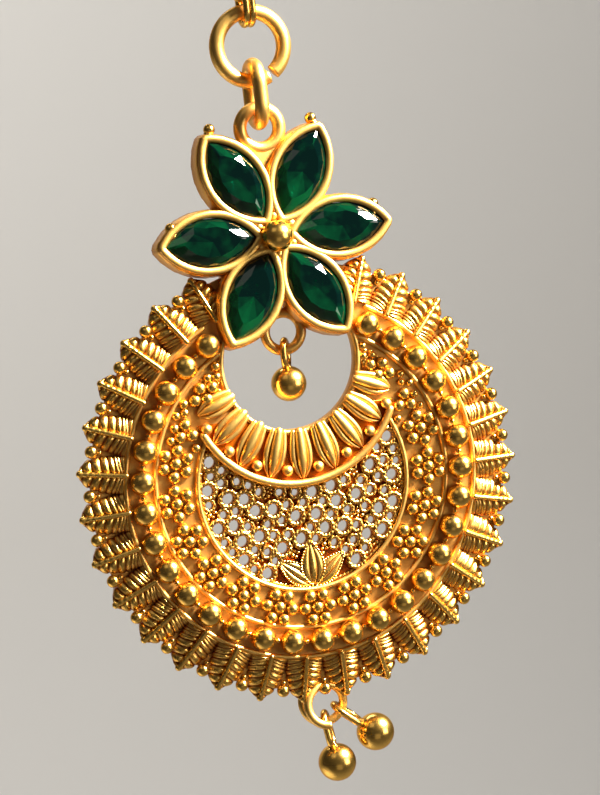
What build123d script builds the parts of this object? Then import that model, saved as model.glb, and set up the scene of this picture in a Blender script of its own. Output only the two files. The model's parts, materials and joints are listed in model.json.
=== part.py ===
from build123d import *
from math import atan2, cos, degrees, hypot, pi, radians, sin, sqrt
import os

# Maang tikka, a hair jewel that hangs on the forehead. Millimetres, +Z up, and the face looks
# along -Y. The origin is the hang point, inside the top of the hair hook's bend. From there a
# chain, a plain ring and an oval link carry the pendant: a flower of six green marquise stones
# soldered over the head of a round casting, whose opening makes a crescent of it.
#
# The casting is drawn on face planes. On such a plane x runs across, y runs up from the centre
# of the disc, and a height grows towards the viewer, from 0 at the middle of the large beads.

# ---- driving sizes ----------------------------------------------------------------------------
GAP = 0.10                      # clearance between pieces that touch in the real jewel

# disc
PLATE_R = 17.4                  # plate under the beads, out to the feet of the leaves
PLATE_FRONT = -0.50             # height of the plate's face
PLATE_BACK = -1.60              # height of the flat back
FLANGE_R = 18.45                # thinner flange under the leaves
FLANGE_FRONT = -1.05
OPENING_R = 5.9                 # round opening behind the inner drop
OPENING_UP = 10.0               # its centre, above the disc's centre
FILIGREE_R = 9.35               # wire circle round the pierced work
FILIGREE_UP = -0.4
FILIGREE_WIRE = 0.50
FILIGREE_REACH = 118            # degrees to each side of straight down
RIM_R = 9.3                     # thick wire arc between the petal band and the pierced work
RIM_UP = 8.8
RIM_WIRE = 0.75
RIM_HEIGHT = -0.05
RIM_REACH = 64

# leaves and granules of the outer ring
LEAF_COUNT = 31
LEAF_FOOT_R = 15.85
LEAF_HEIGHT = -0.05             # height of a leaf's crown at its foot
LEAF_DROOP = 15.0               # degrees that a leaf falls away from its foot to its tip
LEAF_LONG = 3.75
LEAF_HALF = 1.5                 # half its width
LEAF_BLADE = (-1.9, -0.25)      # the blade's underside and face, from the leaf's crown
LOBE_STEP = 0.77                # distance between two lobes along the midrib
LOBE_R = 0.46
LOBE_HEIGHT = -0.42
LOBE_TILT = 28.0                # degrees that a lobe points up the leaf
LOBE_REACHES = (0.99, 1.08, 0.93, 0.60)     # from the midrib outwards, foot to tip
MIDRIB = (3.45, 0.34, 0.75)     # length, width and height
MIDRIB_HEIGHT = -0.10
TIP_GRAIN_R = 18.6
TIP_GRAIN_D = 1.10
TIP_GRAIN_HEIGHT = -1.00
TIP_GRAIN_SIDE = 13             # granules to each side of the one at the bottom; the flower hides the rest

# large beads in their channel
BEAD_R = 14.2
BEAD_D = 2.16
BEAD_STEP = 10.7                # degrees
BEAD_HALF_COUNT = 14            # beads to each side of the one at the bottom
CHANNEL_WIRE_R = (12.98, 15.58)
CHANNEL_WIRE_D = 0.42
CHANNEL_REACH = 152

# rosettes of seven granules, and the granules that fill the two horns
ROSETTE_R = 11.35
ROSETTE_STEP = 17.3
ROSETTE_HALF_COUNT = 6
GRAIN_D = 1.02
GRAIN_PITCH = 1.07
GRAIN_HEIGHT = -0.32
HORN_START = (6.0, 4.9)         # first granule of a horn: across and up
HORN_ROWS = 10
HORN_COLUMNS = 7

# petal band over the rim wire
BAND_FRONT = -0.22              # height of the floor under the petals
BAND_TOP = 5.6                  # how far up the disc the floor reaches
PETAL_COUNT = 9
PETAL_STEP = 16.0               # degrees round the opening
PETAL_RIBS = 4
PETAL_LONG = 2.9
RIB_START = OPENING_R + 0.3
RIB_HEIGHT = -0.10
RIB_R = (0.19, 0.31)            # a rib's radius at the opening and at the rim
RIB_FAN = 4.0                   # degrees between a petal's ribs
PETAL_PAD = (1.6, 0.40, -0.26)  # floor of its own under a petal: width, thickness, height of its top
BUD_D = 0.95                    # ball between two petals at the rim

# pierced work, and the lotus at its foot
MESH_FRONT = -0.75
MESH_BACK = -1.30
HOLE_TOP = 5.6                  # highest row in which the holes are first set out
HOLE_ROWS = 13
HOLE_HALF_COLUMNS = 8
HOLE_PITCH = 1.50
HOLE_SWAY = 0.25                # how far the handmade holes stray from their rows
HOLE_R = (0.51, 0.34)           # a large hole and a small one
HOLE_WALL = 0.40                # metal between two holes
HOLE_ROOM = (0.40, 0.45)        # metal between a hole and the filigree circle, and the rim circle
EASE_ROUNDS = 60
LOTUS_UP = -9.45                # foot of the three petals
LOTUS_LONG = 3.8
LOTUS_WIDE = 1.5
LOTUS_SPLAY = 50                # degrees between two petals
LOTUS_ROOM = 2.6                # radius kept free of holes
LOTUS_HEIGHTS = (-1.0, -0.25)

# flower
FLOWER_UP = 20.9
FLOWER_HEIGHT = 0.10            # height of the bezel lips at the flower's centre
FLOWER_LEAN = 5.0               # degrees that the flower leans back at its top
STONE_LONG = 8.0
STONE_WIDE = 4.2
STONE_OUT = 5.75                # middle of a stone, from the flower's centre
STONE_SIDES = 7                 # facets along each of a stone's two long sides
STONE_LEVELS = (                # height on the flower's face, share of the girdle's size
    (-1.20, 0.14),              # keel
    (-0.42, 1.00),              # girdle
    (-0.24, 1.00),
    (0.42, 0.64),               # table
)
BEZEL_WALL = 0.62
BEZEL_DRAFT = 0.22              # how much wider the bezel is at its foot
BEZEL_DEEP = 2.1
SEAT_DEEP = 1.35
BALL_D = 2.7
BALL_HEIGHT = 0.35
KNOB_D = 1.05
KNOB_POST_D = 0.70
KNOB_POST = 1.0
KNOB_HEIGHT = -0.75
KNOBS = ((4.5, 9.5, 20), (9.0, 1.6, -10))   # across, up, lean in degrees, on both sides
WEB = ((0, 2.5), (3.3, 7.9), (-3.3, 7.9))   # plate that closes the gap between the upper petals
WEB_HEIGHTS = (-2.1, -1.15)

# rings above the flower
BAIL_UP = 29.95
BAIL_MEAN_R = 1.725
BAIL_WIRE = 1.15
BAIL_HEIGHT = -1.60
LINK_WIRE = 1.25
LINK_BEND_R = 1.625
LINK_STRAIGHT = 1.70
RING_MEAN_R = 2.95
RING_WIRE = 1.30
RING_SLIT = -58.5               # direction of the ring's open joint, degrees from +X
RING_SLIT_HALF = 5.5            # half the joint's width, degrees

# drops
DROP_WIRE = 0.60
LOOP_SINK = 0.20                # a ball's top over the middle of the wire soldered to it
SMALL_EYE_UP = 12.5             # ring under the flower that holds the inner drop
SMALL_EYE_MEAN_R = 1.62
SMALL_EYE_WIRE = 0.90
SMALL_EYE_HEIGHT = -1.45
INNER_DROP_TURN = 65            # the loop's turn from the face plane, degrees
INNER_LOOP_BEND_R = 1.0
INNER_LOOP_STRAIGHT = 0.40
INNER_BALL_D = 3.05
COIL_UP = -20.05                # coiled eyelet under the disc
COIL_HEIGHT = -0.35             # height of its front end
COIL_MEAN_R = 1.72
COIL_WIRE = 0.75
COIL_PITCH = 1.80
COIL_TURNS = 1.5
FOOT_LOOP_BEND_R = 1.05
FOOT_LOOP_STRAIGHT = 1.0
FOOT_BALL_D = 3.3
FOOT_DROPS = (                  # place on the coil from straight down, lean, turn of the loop
    ("foot_drop_1", 0, 9, 68),
    ("foot_drop_2", 68, 50, 80),
)

# chain and hook
CHAIN_LINKS = 21                # odd, so that both end links are turned alike
CHAIN_WIRE = 0.58
CHAIN_TWIN = 0.52               # distance between the two wires of a link
CHAIN_BEND_R = 1.16
CHAIN_STRAIGHT = 0.66
CHAIN_PITCH = 2.15
TWIN_LIFT = 0.07                # how much higher a twin wire rides in a round bend
HOOK_WIRE = 0.90
HOOK_EYE_R = 1.35
HOOK_BEND_R = 2.8
HOOK_EYE_TURN = 282             # degrees that the wire's end winds round the eye
HOOK_NECK = 3.6                 # from the eye's centre up to the foot of the shank
HOOK_NECK_STEP = 1.7            # from the eye's centre up to where the wire leans out
HOOK_NECK_R = 1.4
HOOK_SHANK = 4.4
HOOK_TAIL = 4.6
HOOK_FLICK = (0.85, 2.0)        # how far the tail's end turns out, and its bend's radius
HOOK_TIP_R = 0.54

# ---- the stack of centres, from the hang point down ---------------------------------------------
bend_z = HOOK_WIRE / 2 - HOOK_BEND_R
eye_z = bend_z - HOOK_SHANK - HOOK_NECK

chain_inner_r = CHAIN_BEND_R - CHAIN_WIRE / 2
hook_seat = chain_inner_r - HOOK_WIRE / 2 - GAP - TWIN_LIFT
ring_seat = chain_inner_r - RING_WIRE / 2 - GAP - TWIN_LIFT
chain_top_z = eye_z - HOOK_EYE_R - hook_seat - CHAIN_STRAIGHT / 2
chain_low_z = chain_top_z - (CHAIN_LINKS - 1) * CHAIN_PITCH

ring_z = chain_low_z - CHAIN_STRAIGHT / 2 - ring_seat - RING_MEAN_R
swing_z = ring_z - RING_MEAN_R                              # axis of the front-to-back swing

link_inner_r = LINK_BEND_R - LINK_WIRE / 2
link_seat = link_inner_r - RING_WIRE / 2 - GAP
bail_seat = link_inner_r - BAIL_WIRE / 2 - GAP
link_z = swing_z - link_seat - LINK_STRAIGHT / 2
sway_z = link_z - LINK_STRAIGHT / 2 - LINK_BEND_R           # axis of the side-to-side swing

bail_z = link_z - LINK_STRAIGHT / 2 - bail_seat - BAIL_MEAN_R
disc_z = bail_z - BAIL_UP
disc_y = BAIL_HEIGHT                                        # brings the bail under the hang point
print("swing_z %.4f  sway_z %.4f  disc_z %.4f  disc_y %.4f" % (swing_z, sway_z, disc_z, disc_y))

front = Plane(origin=(0, 0, 0), x_dir=(1, 0, 0), z_dir=(0, -1, 0))      # seen from the front
side = Plane(origin=(0, 0, 0), x_dir=(0, 1, 0), z_dir=(1, 0, 0))        # seen from the side
face = Plane(origin=(0, disc_y, disc_z), x_dir=(1, 0, 0), z_dir=(0, -1, 0))
flower_face = Plane(
    origin=(0, disc_y - FLOWER_HEIGHT, disc_z + FLOWER_UP),
    x_dir=(1, 0, 0),
    z_dir=(0, -cos(radians(FLOWER_LEAN)), sin(radians(FLOWER_LEAN))),
)


# ---- shapes that repeat ---------------------------------------------------------------------------
def from_bottom(radius, angle):
    """Point at an angle in degrees counted from straight down, positive towards +X."""
    return (radius * sin(radians(angle)), -radius * cos(radians(angle)))


def spread(count, step):
    """Angles with this step between them, as many to the left as to the right of 0."""
    return [(number - (count - 1) / 2) * step for number in range(count)]


def on_face(spots, height):
    """Places on the disc's face plane at one height."""
    return [face * Location((across, up, height)) for across, up in spots]


def turned_out(turns, radius, height):
    """Places on a circle round the disc, each with its x pointing away from the centre."""
    out = Location((radius, 0, 0))
    return [face * Location((0, 0, height), (0, 0, turn)) * out for turn in turns]


def moved(plane, across, up):
    """A plane moved along its own x and y."""
    return plane.shift_origin(plane.from_local_coords((across, up, 0)))


def finish(builder, label):
    """Name a finished piece and write it to parts/."""
    builder.part.label = label
    export_step(builder.part, "parts/" + label + ".step")


def wire_arc(plane, middle, radius, direction, reach, wire, height):
    """Round wire bent to an arc, which reaches this many degrees to each side of a direction."""
    with BuildLine(plane.offset(height)) as bend:
        CenterArc(middle, radius, direction - reach, 2 * reach)
    with BuildSketch(Plane(bend.wire() @ 0, z_dir=bend.wire() % 0)) as section:
        Circle(wire / 2)
    sweep(sections=section.sketch, path=bend.wire())


def wire_ring(plane, bend_r, straight, wire, twin=0.0):
    """Closed ring of round wire, long along the plane's y: two bends and two straights. A twin
    distance makes it of two wires side by side."""
    with BuildSketch(plane) as outline:
        if straight:
            SlotCenterToCenter(straight, 2 * bend_r, rotation=90)
        else:
            Circle(bend_r)
    path = outline.sketch.face().outer_wire()
    with BuildSketch(Plane(path @ 0, x_dir=plane.z_dir, z_dir=path % 0)) as section:
        with Locations((-twin / 2, 0), (twin / 2, 0)):
            Circle(wire / 2)
    sweep(sections=section.sketch, path=path)


def ball_drop(plane, straight, bend_r, ball_d):
    """Wire loop with a ball soldered under it. The plane's origin is the middle of the loop's wire
    at its top, and the drop hangs along the plane's -y."""
    wire_ring(moved(plane, 0, -bend_r - straight / 2), bend_r, straight, DROP_WIRE)
    with Locations(plane * Location((0, LOOP_SINK - 2 * bend_r - straight - ball_d / 2, 0))):
        Sphere(ball_d / 2)


def marquise(long, wide):
    """Pointed oval of two arcs, its length along y."""
    with BuildLine() as edge:
        ThreePointArc((0, -long / 2), (wide / 2, 0), (0, long / 2))
        ThreePointArc((0, long / 2), (-wide / 2, 0), (0, -long / 2))
    make_face(edge.edges())


def cut_outline(share):
    """A stone's outline as straight facets with their corners on the pointed oval."""
    bow = (STONE_LONG**2 + STONE_WIDE**2) / (4 * STONE_WIDE)
    corners = []
    for turn in (1, -1):
        for step in range(STONE_SIDES):
            along = turn * STONE_LONG / 2 * cos(pi * step / STONE_SIDES)
            across = turn * (sqrt(bow**2 - along**2) - bow + STONE_WIDE / 2)
            corners.append((share * across, share * along))
    with BuildLine() as edge:
        Polyline(*corners, close=True)
    make_face(edge.edges())


# ---- where the granules and holes go ---------------------------------------------------------------
def rosette_spots():
    """Centres of the seven granules of each rosette."""
    spots = []
    for angle in spread(2 * ROSETTE_HALF_COUNT + 1, ROSETTE_STEP):
        middle = from_bottom(ROSETTE_R, angle)
        spots.append(middle)
        for turn in range(6):
            spoke = radians(angle + 60 * turn)
            spots.append((middle[0] + GRAIN_PITCH * cos(spoke), middle[1] + GRAIN_PITCH * sin(spoke)))
    return spots


def horn_spots(taken):
    """Close-packed granules over both horns, clear of the opening, the wires and the rosettes."""
    spots = []
    for row in range(HORN_ROWS):
        up = HORN_START[1] + 0.9 * row * GRAIN_PITCH
        for column in range(HORN_COLUMNS):
            across = HORN_START[0] + 1.02 * (column + 0.5 * (row % 2)) * GRAIN_PITCH
            inside = hypot(across, up) < CHANNEL_WIRE_R[0] - 0.75
            off_opening = hypot(across, up - OPENING_UP) > OPENING_R + 0.72
            off_rim = hypot(across, up - RIM_UP) > RIM_R + 0.2 or up > BAND_TOP + 0.8
            from_petals = degrees(atan2(across, OPENING_UP - up)) - (PETAL_COUNT - 1) / 2 * PETAL_STEP
            off_petals = from_petals > 8.5 or hypot(across, up - OPENING_UP) > RIB_START + PETAL_LONG + 0.9
            free = min(hypot(across - x, up - y) for x, y in taken) > 0.97 * GRAIN_PITCH
            if inside and off_opening and off_rim and off_petals and free:
                spots += [(across, up), (-across, up)]
    return spots


def from_lotus(across, up):
    """Distance from the lotus's foot, measured shorter sideways and upwards, where its petals reach."""
    return hypot(across / 1.3, (up - LOTUS_UP) / 1.25)


def in_window(across, up, room):
    """Whether a circle fits between the wires of the pierced work and clear of the lotus."""
    in_circle = hypot(across, up - FILIGREE_UP) < FILIGREE_R - room
    under_rim = hypot(across, up - RIM_UP) > RIM_R + room
    return in_circle and under_rim and from_lotus(across, up) > LOTUS_ROOM + room


def pushed(hole, centre_up, lack):
    """The hole, moved by half of what it lacks away from a point on the disc's middle line."""
    across, up, radius = hole
    apart = hypot(across, up - centre_up)
    return across + lack / 2 * across / apart, up + lack / 2 * (up - centre_up) / apart, radius


def eased_in(hole):
    """The hole, moved inwards from each edge of the window that it lies too near."""
    radius = hole[2]
    far = hypot(hole[0], hole[1] - FILIGREE_UP) + radius + HOLE_ROOM[0] - FILIGREE_R
    hole = pushed(hole, FILIGREE_UP, min(0, -far))
    near = RIM_R + radius + HOLE_ROOM[1] - hypot(hole[0], hole[1] - RIM_UP)
    hole = pushed(hole, RIM_UP, max(0, near))
    lack = LOTUS_ROOM + radius + 0.25 - from_lotus(hole[0], hole[1])
    return pushed(hole, LOTUS_UP, max(0, lack))


def eased_apart(hole, other):
    """Two holes, each moved by a third of what the wall between them lacks."""
    across, up = hole[0] - other[0], hole[1] - other[1]
    apart = hypot(across, up)
    lack = max(0, hole[2] + other[2] + HOLE_WALL - apart)
    step = 0.3 * lack / apart
    first = (hole[0] + step * across, hole[1] + step * up, hole[2])
    return first, (other[0] - step * across, other[1] - step * up, other[2])


def mesh_holes():
    """Holes of the pierced work, as across, up and radius: set out in rows, then eased apart."""
    holes = []
    for row in range(HOLE_ROWS):
        for column in range(-HOLE_HALF_COLUMNS, HOLE_HALF_COLUMNS + 1):
            radius = HOLE_R[0] if (2 * column + row) % 5 in (0, 2) else HOLE_R[1]
            across = (column + 0.5 * (row % 2)) * HOLE_PITCH + HOLE_SWAY * sin(2.3 * column + 1.1 * row)
            up = HOLE_TOP - 0.87 * row * HOLE_PITCH + HOLE_SWAY * cos(1.7 * column + 2.1 * row)
            if in_window(across, up, 0.05):
                holes.append((across, up, radius))
    for _ in range(EASE_ROUNDS):
        for number in range(len(holes)):
            for other in range(number):
                holes[number], holes[other] = eased_apart(holes[number], holes[other])
            holes[number] = eased_in(holes[number])
    kept = []
    for across, up, radius in sorted(holes, key=lambda hole: -hole[2]):
        wall = min((hypot(across - x, up - y) - size - radius for x, y, size in kept), default=HOLE_WALL)
        if wall > 0.6 * HOLE_WALL and in_window(across, up, radius + 0.2):
            kept.append((across, up, radius))
    return kept


grains = rosette_spots()
grains += horn_spots(grains)
holes = mesh_holes()
beads = [from_bottom(BEAD_R, angle) for angle in spread(2 * BEAD_HALF_COUNT + 1, BEAD_STEP)]
leaf_turns = [90 + number * 360 / LEAF_COUNT for number in range(LEAF_COUNT)]
tip_turns = [number * 360 / LEAF_COUNT - 90 for number in range(-TIP_GRAIN_SIDE, TIP_GRAIN_SIDE + 1)]
bud_turns = spread(PETAL_COUNT - 1, PETAL_STEP)
buds = [from_bottom(RIB_START + PETAL_LONG + 0.1, angle) for angle in bud_turns]
buds = [(across, up + OPENING_UP) for across, up in buds]

# ---- one leaf of the outer ring -----------------------------------------------------------------
# It lies along its plane's x, with its foot at 0, and falls away towards its tip. Round lobes
# slant up the leaf from a proud midrib.
leaf_plane = Plane.XY.rotated((0, LEAF_DROOP, 0))
with BuildPart(leaf_plane) as leaf:
    with BuildSketch(leaf_plane.offset(LEAF_BLADE[0])):
        with BuildLine():
            foot = Line((0, -0.84 * LEAF_HALF), (0, 0.84 * LEAF_HALF))
            ThreePointArc(foot @ 1, (0.52 * LEAF_LONG, 0.93 * LEAF_HALF), (LEAF_LONG, 0))
            ThreePointArc((LEAF_LONG, 0), (0.52 * LEAF_LONG, -0.93 * LEAF_HALF), foot @ 0)
        make_face()
    extrude(amount=LEAF_BLADE[1] - LEAF_BLADE[0])
    for turn in (-1, 1):
        for number, reach in enumerate(LOBE_REACHES):
            root = (0.475 + number * LOBE_STEP, turn * (0.16 + reach / 2), LOBE_HEIGHT)
            with Locations(leaf_plane * Location(root, (0, 0, turn * LOBE_TILT))):
                Cylinder(LOBE_R, reach + 0.3, rotation=(90, 0, 0))
    with Locations(leaf_plane * Location((MIDRIB[0] / 2, 0, MIDRIB_HEIGHT))):
        Box(*MIDRIB)

# ---- one fluted petal of the band over the rim wire ---------------------------------------------
# It lies along x from the edge of the opening. Its ribs fan out and end round at the rim wire.
with BuildPart() as band_petal:
    with Locations((RIB_START + PETAL_LONG / 2, 0, PETAL_PAD[2] - PETAL_PAD[1] / 2)):
        Box(PETAL_LONG, PETAL_PAD[0], PETAL_PAD[1])
    for fan in spread(PETAL_RIBS, RIB_FAN):
        rib = Location((0, 0, RIB_HEIGHT), (0, 0, fan))
        with Locations(rib * Location((RIB_START + PETAL_LONG / 2, 0, 0), (0, 90, 0))):
            Cone(RIB_R[0], RIB_R[1], PETAL_LONG)
        with Locations(rib * Location((RIB_START + PETAL_LONG, 0, 0))):
            Sphere(RIB_R[1])

# ---- one petal of the lotus ---------------------------------------------------------------------
with BuildPart() as lotus_petal:
    for height, share in zip(LOTUS_HEIGHTS, (1.0, 0.55)):
        with BuildSketch(Plane.XY.offset(height)):
            with Locations((0, LOTUS_LONG / 2)):
                marquise(share * LOTUS_LONG, share * LOTUS_WIDE)
    loft()

# ---- one bezel, a pointed oval cup with a drafted wall, and the room cut out of it for a stone -----
with BuildPart() as bezel:
    with BuildSketch(Plane.XY.offset(-BEZEL_DEEP)):
        marquise(STONE_LONG, STONE_WIDE)
        offset(amount=BEZEL_WALL + BEZEL_DRAFT)
    with BuildSketch():
        marquise(STONE_LONG, STONE_WIDE)
        offset(amount=BEZEL_WALL)
    loft()

with BuildPart() as stone_room:
    with BuildSketch(Plane.XY.offset(-SEAT_DEEP)):
        marquise(STONE_LONG + 2 * GAP, STONE_WIDE + 2 * GAP)
    extrude(amount=3 * SEAT_DEEP)

flower_places = [
    flower_face * Location((0, 0, 0), (0, 0, -turn)) * Location((0, STONE_OUT, 0))
    for turn in (30, 90, 150, 210, 270, 330)
]

# ---- pendant: disc, relief, flower and soldered rings, all one piece of metal ----------------------
os.makedirs("parts", exist_ok=True)
with BuildPart() as pendant:
    # plate, with a window for the pierced work
    with BuildSketch(face.offset(PLATE_BACK)):
        Circle(PLATE_R)
        with BuildSketch(mode=Mode.SUBTRACT):
            with Locations((0, FILIGREE_UP)):
                Circle(FILIGREE_R)
            with Locations((0, RIM_UP)):
                Circle(RIM_R, mode=Mode.SUBTRACT)
    extrude(amount=PLATE_FRONT - PLATE_BACK)
    # thinner flange under the leaves, out to the granules between their tips
    with BuildSketch(face.offset(PLATE_BACK)):
        Circle(FLANGE_R)
        Circle(PLATE_R - 1, mode=Mode.SUBTRACT)
    extrude(amount=FLANGE_FRONT - PLATE_BACK)
    # floor of the petal band, up to the horns
    with BuildSketch(face.offset(PLATE_BACK)):
        with Locations((0, RIM_UP)):
            Circle(RIM_R)
        with Locations((0, BAND_TOP + RIM_R)):
            Rectangle(3 * RIM_R, 2 * RIM_R, mode=Mode.SUBTRACT)
    extrude(amount=BAND_FRONT - PLATE_BACK)
    # pierced work
    with BuildSketch(face.offset(MESH_BACK)):
        with Locations((0, FILIGREE_UP)):
            Circle(FILIGREE_R + 0.2)
        with Locations((0, RIM_UP)):
            Circle(RIM_R - 0.2, mode=Mode.SUBTRACT)
        for hole_r in HOLE_R:
            with Locations(*[(across, up) for across, up, radius in holes if radius == hole_r]):
                Circle(hole_r, mode=Mode.SUBTRACT)
    extrude(amount=MESH_FRONT - MESH_BACK)
    with Locations(*[face * Location((0, LOTUS_UP, 0), (0, 0, turn)) for turn in spread(3, LOTUS_SPLAY)]):
        add(lotus_petal.part)
    # beads and granules
    with Locations(*on_face(beads, 0)):
        Sphere(BEAD_D / 2)
    with Locations(*on_face(grains, GRAIN_HEIGHT)):
        Sphere(GRAIN_D / 2)
    with Locations(*on_face(buds, RIB_HEIGHT)):
        Sphere(BUD_D / 2)
    # petals round the opening, then the opening itself, through plate, floor and ribs
    with Locations(
        *[face * Location((0, OPENING_UP, 0), (0, 0, turn - 90)) for turn in spread(PETAL_COUNT, PETAL_STEP)]
    ):
        add(band_petal.part)
    with BuildSketch(face.offset(2 * PLATE_BACK)):
        with Locations((0, OPENING_UP)):
            Circle(OPENING_R)
    extrude(amount=-4 * PLATE_BACK, mode=Mode.SUBTRACT)
    # wires: the beads' channel, the circle of the pierced work and the rim
    for radius in CHANNEL_WIRE_R:
        wire_arc(face, (0, 0), radius, -90, CHANNEL_REACH, CHANNEL_WIRE_D, PLATE_FRONT)
    wire_arc(face, (0, FILIGREE_UP), FILIGREE_R, -90, FILIGREE_REACH, FILIGREE_WIRE, PLATE_FRONT)
    wire_arc(face, (0, RIM_UP), RIM_R, -90, RIM_REACH, RIM_WIRE, RIM_HEIGHT)
    # leaves and the granules between their tips, cut off flat with the back
    with Locations(*turned_out(leaf_turns, LEAF_FOOT_R, LEAF_HEIGHT)):
        add(leaf.part)
    with Locations(*turned_out(tip_turns, TIP_GRAIN_R, TIP_GRAIN_HEIGHT)):
        Sphere(TIP_GRAIN_D / 2)
    split(bisect_by=face.offset(PLATE_BACK), keep=Keep.TOP)
    # flower: six bezels, the web that carries the bail, the centre ball and four knobs on posts
    with Locations(*flower_places):
        add(bezel.part)
    with BuildSketch(flower_face.offset(WEB_HEIGHTS[0])):
        with BuildLine():
            Polyline(*WEB, close=True)
        make_face()
    extrude(amount=WEB_HEIGHTS[1] - WEB_HEIGHTS[0])
    with Locations(flower_face * Location((0, 0, BALL_HEIGHT), (0, 0, 13))):
        Sphere(BALL_D / 2)
    knobs = [
        flower_face * Location((turn * across, up, KNOB_HEIGHT), (0, 0, turn * lean))
        for turn in (-1, 1)
        for across, up, lean in KNOBS
    ]
    with Locations(*knobs):
        Sphere(KNOB_D / 2)
    with Locations(*[knob * Location((0, -KNOB_POST / 2, 0), (90, 0, 0)) for knob in knobs]):
        Cylinder(KNOB_POST_D / 2, KNOB_POST)
    # bail, and the small eye under the flower
    with Locations(face * Location((0, BAIL_UP, BAIL_HEIGHT))):
        Torus(BAIL_MEAN_R, BAIL_WIRE / 2)
    with Locations(face * Location((0, SMALL_EYE_UP, SMALL_EYE_HEIGHT))):
        Torus(SMALL_EYE_MEAN_R, SMALL_EYE_WIRE / 2)
    # coiled eyelet under the disc: it starts in front at the bottom and winds back round the left
    coil_end = face.from_local_coords((0, COIL_UP, COIL_HEIGHT))
    with BuildLine(Plane(coil_end, x_dir=(0, 0, -1), z_dir=(0, 1, 0))) as coil:
        Helix(COIL_PITCH, COIL_PITCH * COIL_TURNS, COIL_MEAN_R)
    with BuildSketch(Plane(coil.line @ 0, z_dir=coil.line % 0)) as coil_section:
        Circle(COIL_WIRE / 2)
    sweep(sections=coil_section.sketch, path=coil.line, is_frenet=True)
    # room for the stones, cut last through all that the flower covers
    with Locations(*flower_places):
        add(stone_room.part, mode=Mode.SUBTRACT)
finish(pendant, "pendant")

# ---- stones: marquise cuts with a keel, a girdle, a crown of facets and a table --------------------
for number, place in enumerate(flower_places, start=1):
    with BuildPart() as stone:
        for pair in zip(STONE_LEVELS, STONE_LEVELS[1:]):
            for height, share in pair:
                with BuildSketch(Plane(place).offset(height)):
                    cut_outline(share)
            loft(ruled=True)
    finish(stone, "stone_" + str(number))

# ---- drops ------------------------------------------------------------------------------------------
with BuildPart() as inner_drop:
    hung_up = SMALL_EYE_UP - SMALL_EYE_MEAN_R + SMALL_EYE_WIRE / 2 + GAP + DROP_WIRE / 2
    hung = face * Location((0, hung_up, SMALL_EYE_HEIGHT), (0, INNER_DROP_TURN, 0))
    ball_drop(Plane(hung), INNER_LOOP_STRAIGHT, INNER_LOOP_BEND_R, INNER_BALL_D)
finish(inner_drop, "inner_drop")

for name, clock, lean, turn in FOOT_DROPS:
    in_coil = from_bottom(COIL_MEAN_R - COIL_WIRE / 2 - GAP - DROP_WIRE / 2, clock)
    depth = COIL_HEIGHT - COIL_PITCH * (1 - clock / 360)
    with BuildPart() as foot_drop:
        hung = face * Location((in_coil[0], COIL_UP + in_coil[1], depth), (0, 0, lean))
        loop_plane = Plane(hung * Location((0, 0, 0), (0, turn, 0)))
        ball_drop(loop_plane, FOOT_LOOP_STRAIGHT, FOOT_LOOP_BEND_R, FOOT_BALL_D)
    finish(foot_drop, name)

# ---- oval link and top ring --------------------------------------------------------------------------
with BuildPart() as oval_link:
    wire_ring(moved(side, 0, link_z), LINK_BEND_R, LINK_STRAIGHT, LINK_WIRE)
finish(oval_link, "oval_link")

with BuildPart() as top_ring:
    wire_arc(front, (0, ring_z), RING_MEAN_R, RING_SLIT + 180, 180 - RING_SLIT_HALF, RING_WIRE, 0)
finish(top_ring, "top_ring")

# ---- chain: links of twin wire, each turned a quarter from the last ------------------------------------
with BuildPart() as chain:
    for number in range(CHAIN_LINKS):
        plane = front if number % 2 else side
        link_plane = moved(plane, 0, chain_top_z - number * CHAIN_PITCH)
        wire_ring(link_plane, CHAIN_BEND_R, CHAIN_STRAIGHT, CHAIN_WIRE, CHAIN_TWIN)
finish(chain, "chain")

# ---- hair hook: one wire, from its eye up a neck and a shank, over the hang point and down a tail -------
with BuildPart() as hair_hook:
    with BuildLine(front) as stem:
        CenterArc((0, eye_z), HOOK_EYE_R, 180 + HOOK_EYE_TURN, -HOOK_EYE_TURN)
        neck_step = (-HOOK_EYE_R, eye_z + HOOK_NECK_STEP)
        shank_foot = (-HOOK_BEND_R, bend_z - HOOK_SHANK)
        shank_top = (-HOOK_BEND_R, bend_z)
        FilletPolyline((-HOOK_EYE_R, eye_z), neck_step, shank_foot, shank_top, radius=HOOK_NECK_R)
        CenterArc((0, bend_z), HOOK_BEND_R, 180, -180)
        tail_turn = (HOOK_BEND_R, bend_z - 0.7 * HOOK_TAIL)
        tail_end = (HOOK_BEND_R + HOOK_FLICK[0], bend_z - HOOK_TAIL)
        tail = FilletPolyline((HOOK_BEND_R, bend_z), tail_turn, tail_end, radius=HOOK_FLICK[1])
    path = stem.wire()
    with BuildSketch(Plane(path @ 0, z_dir=path % 0)) as stem_section:
        Circle(HOOK_WIRE / 2)
    sweep(sections=stem_section.sketch, path=path)
    with Locations(Location(tail @ 1)):
        Sphere(HOOK_TIP_R)
finish(hair_hook, "hair_hook")
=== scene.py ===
"""Maang tikka: a gold forehead pendant with six green stones, hanging from its chain and hair hook.

Every shape is worked out in millimetres on the disc's own frame, in which a point is its distance
across, its distance up from the disc's centre and its height towards the viewer. One matrix takes
that frame to the object's frame in metres.
"""

import json
import logging
import math
from dataclasses import dataclass, field
from enum import Enum
from typing import Any, Iterable, Sequence

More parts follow.
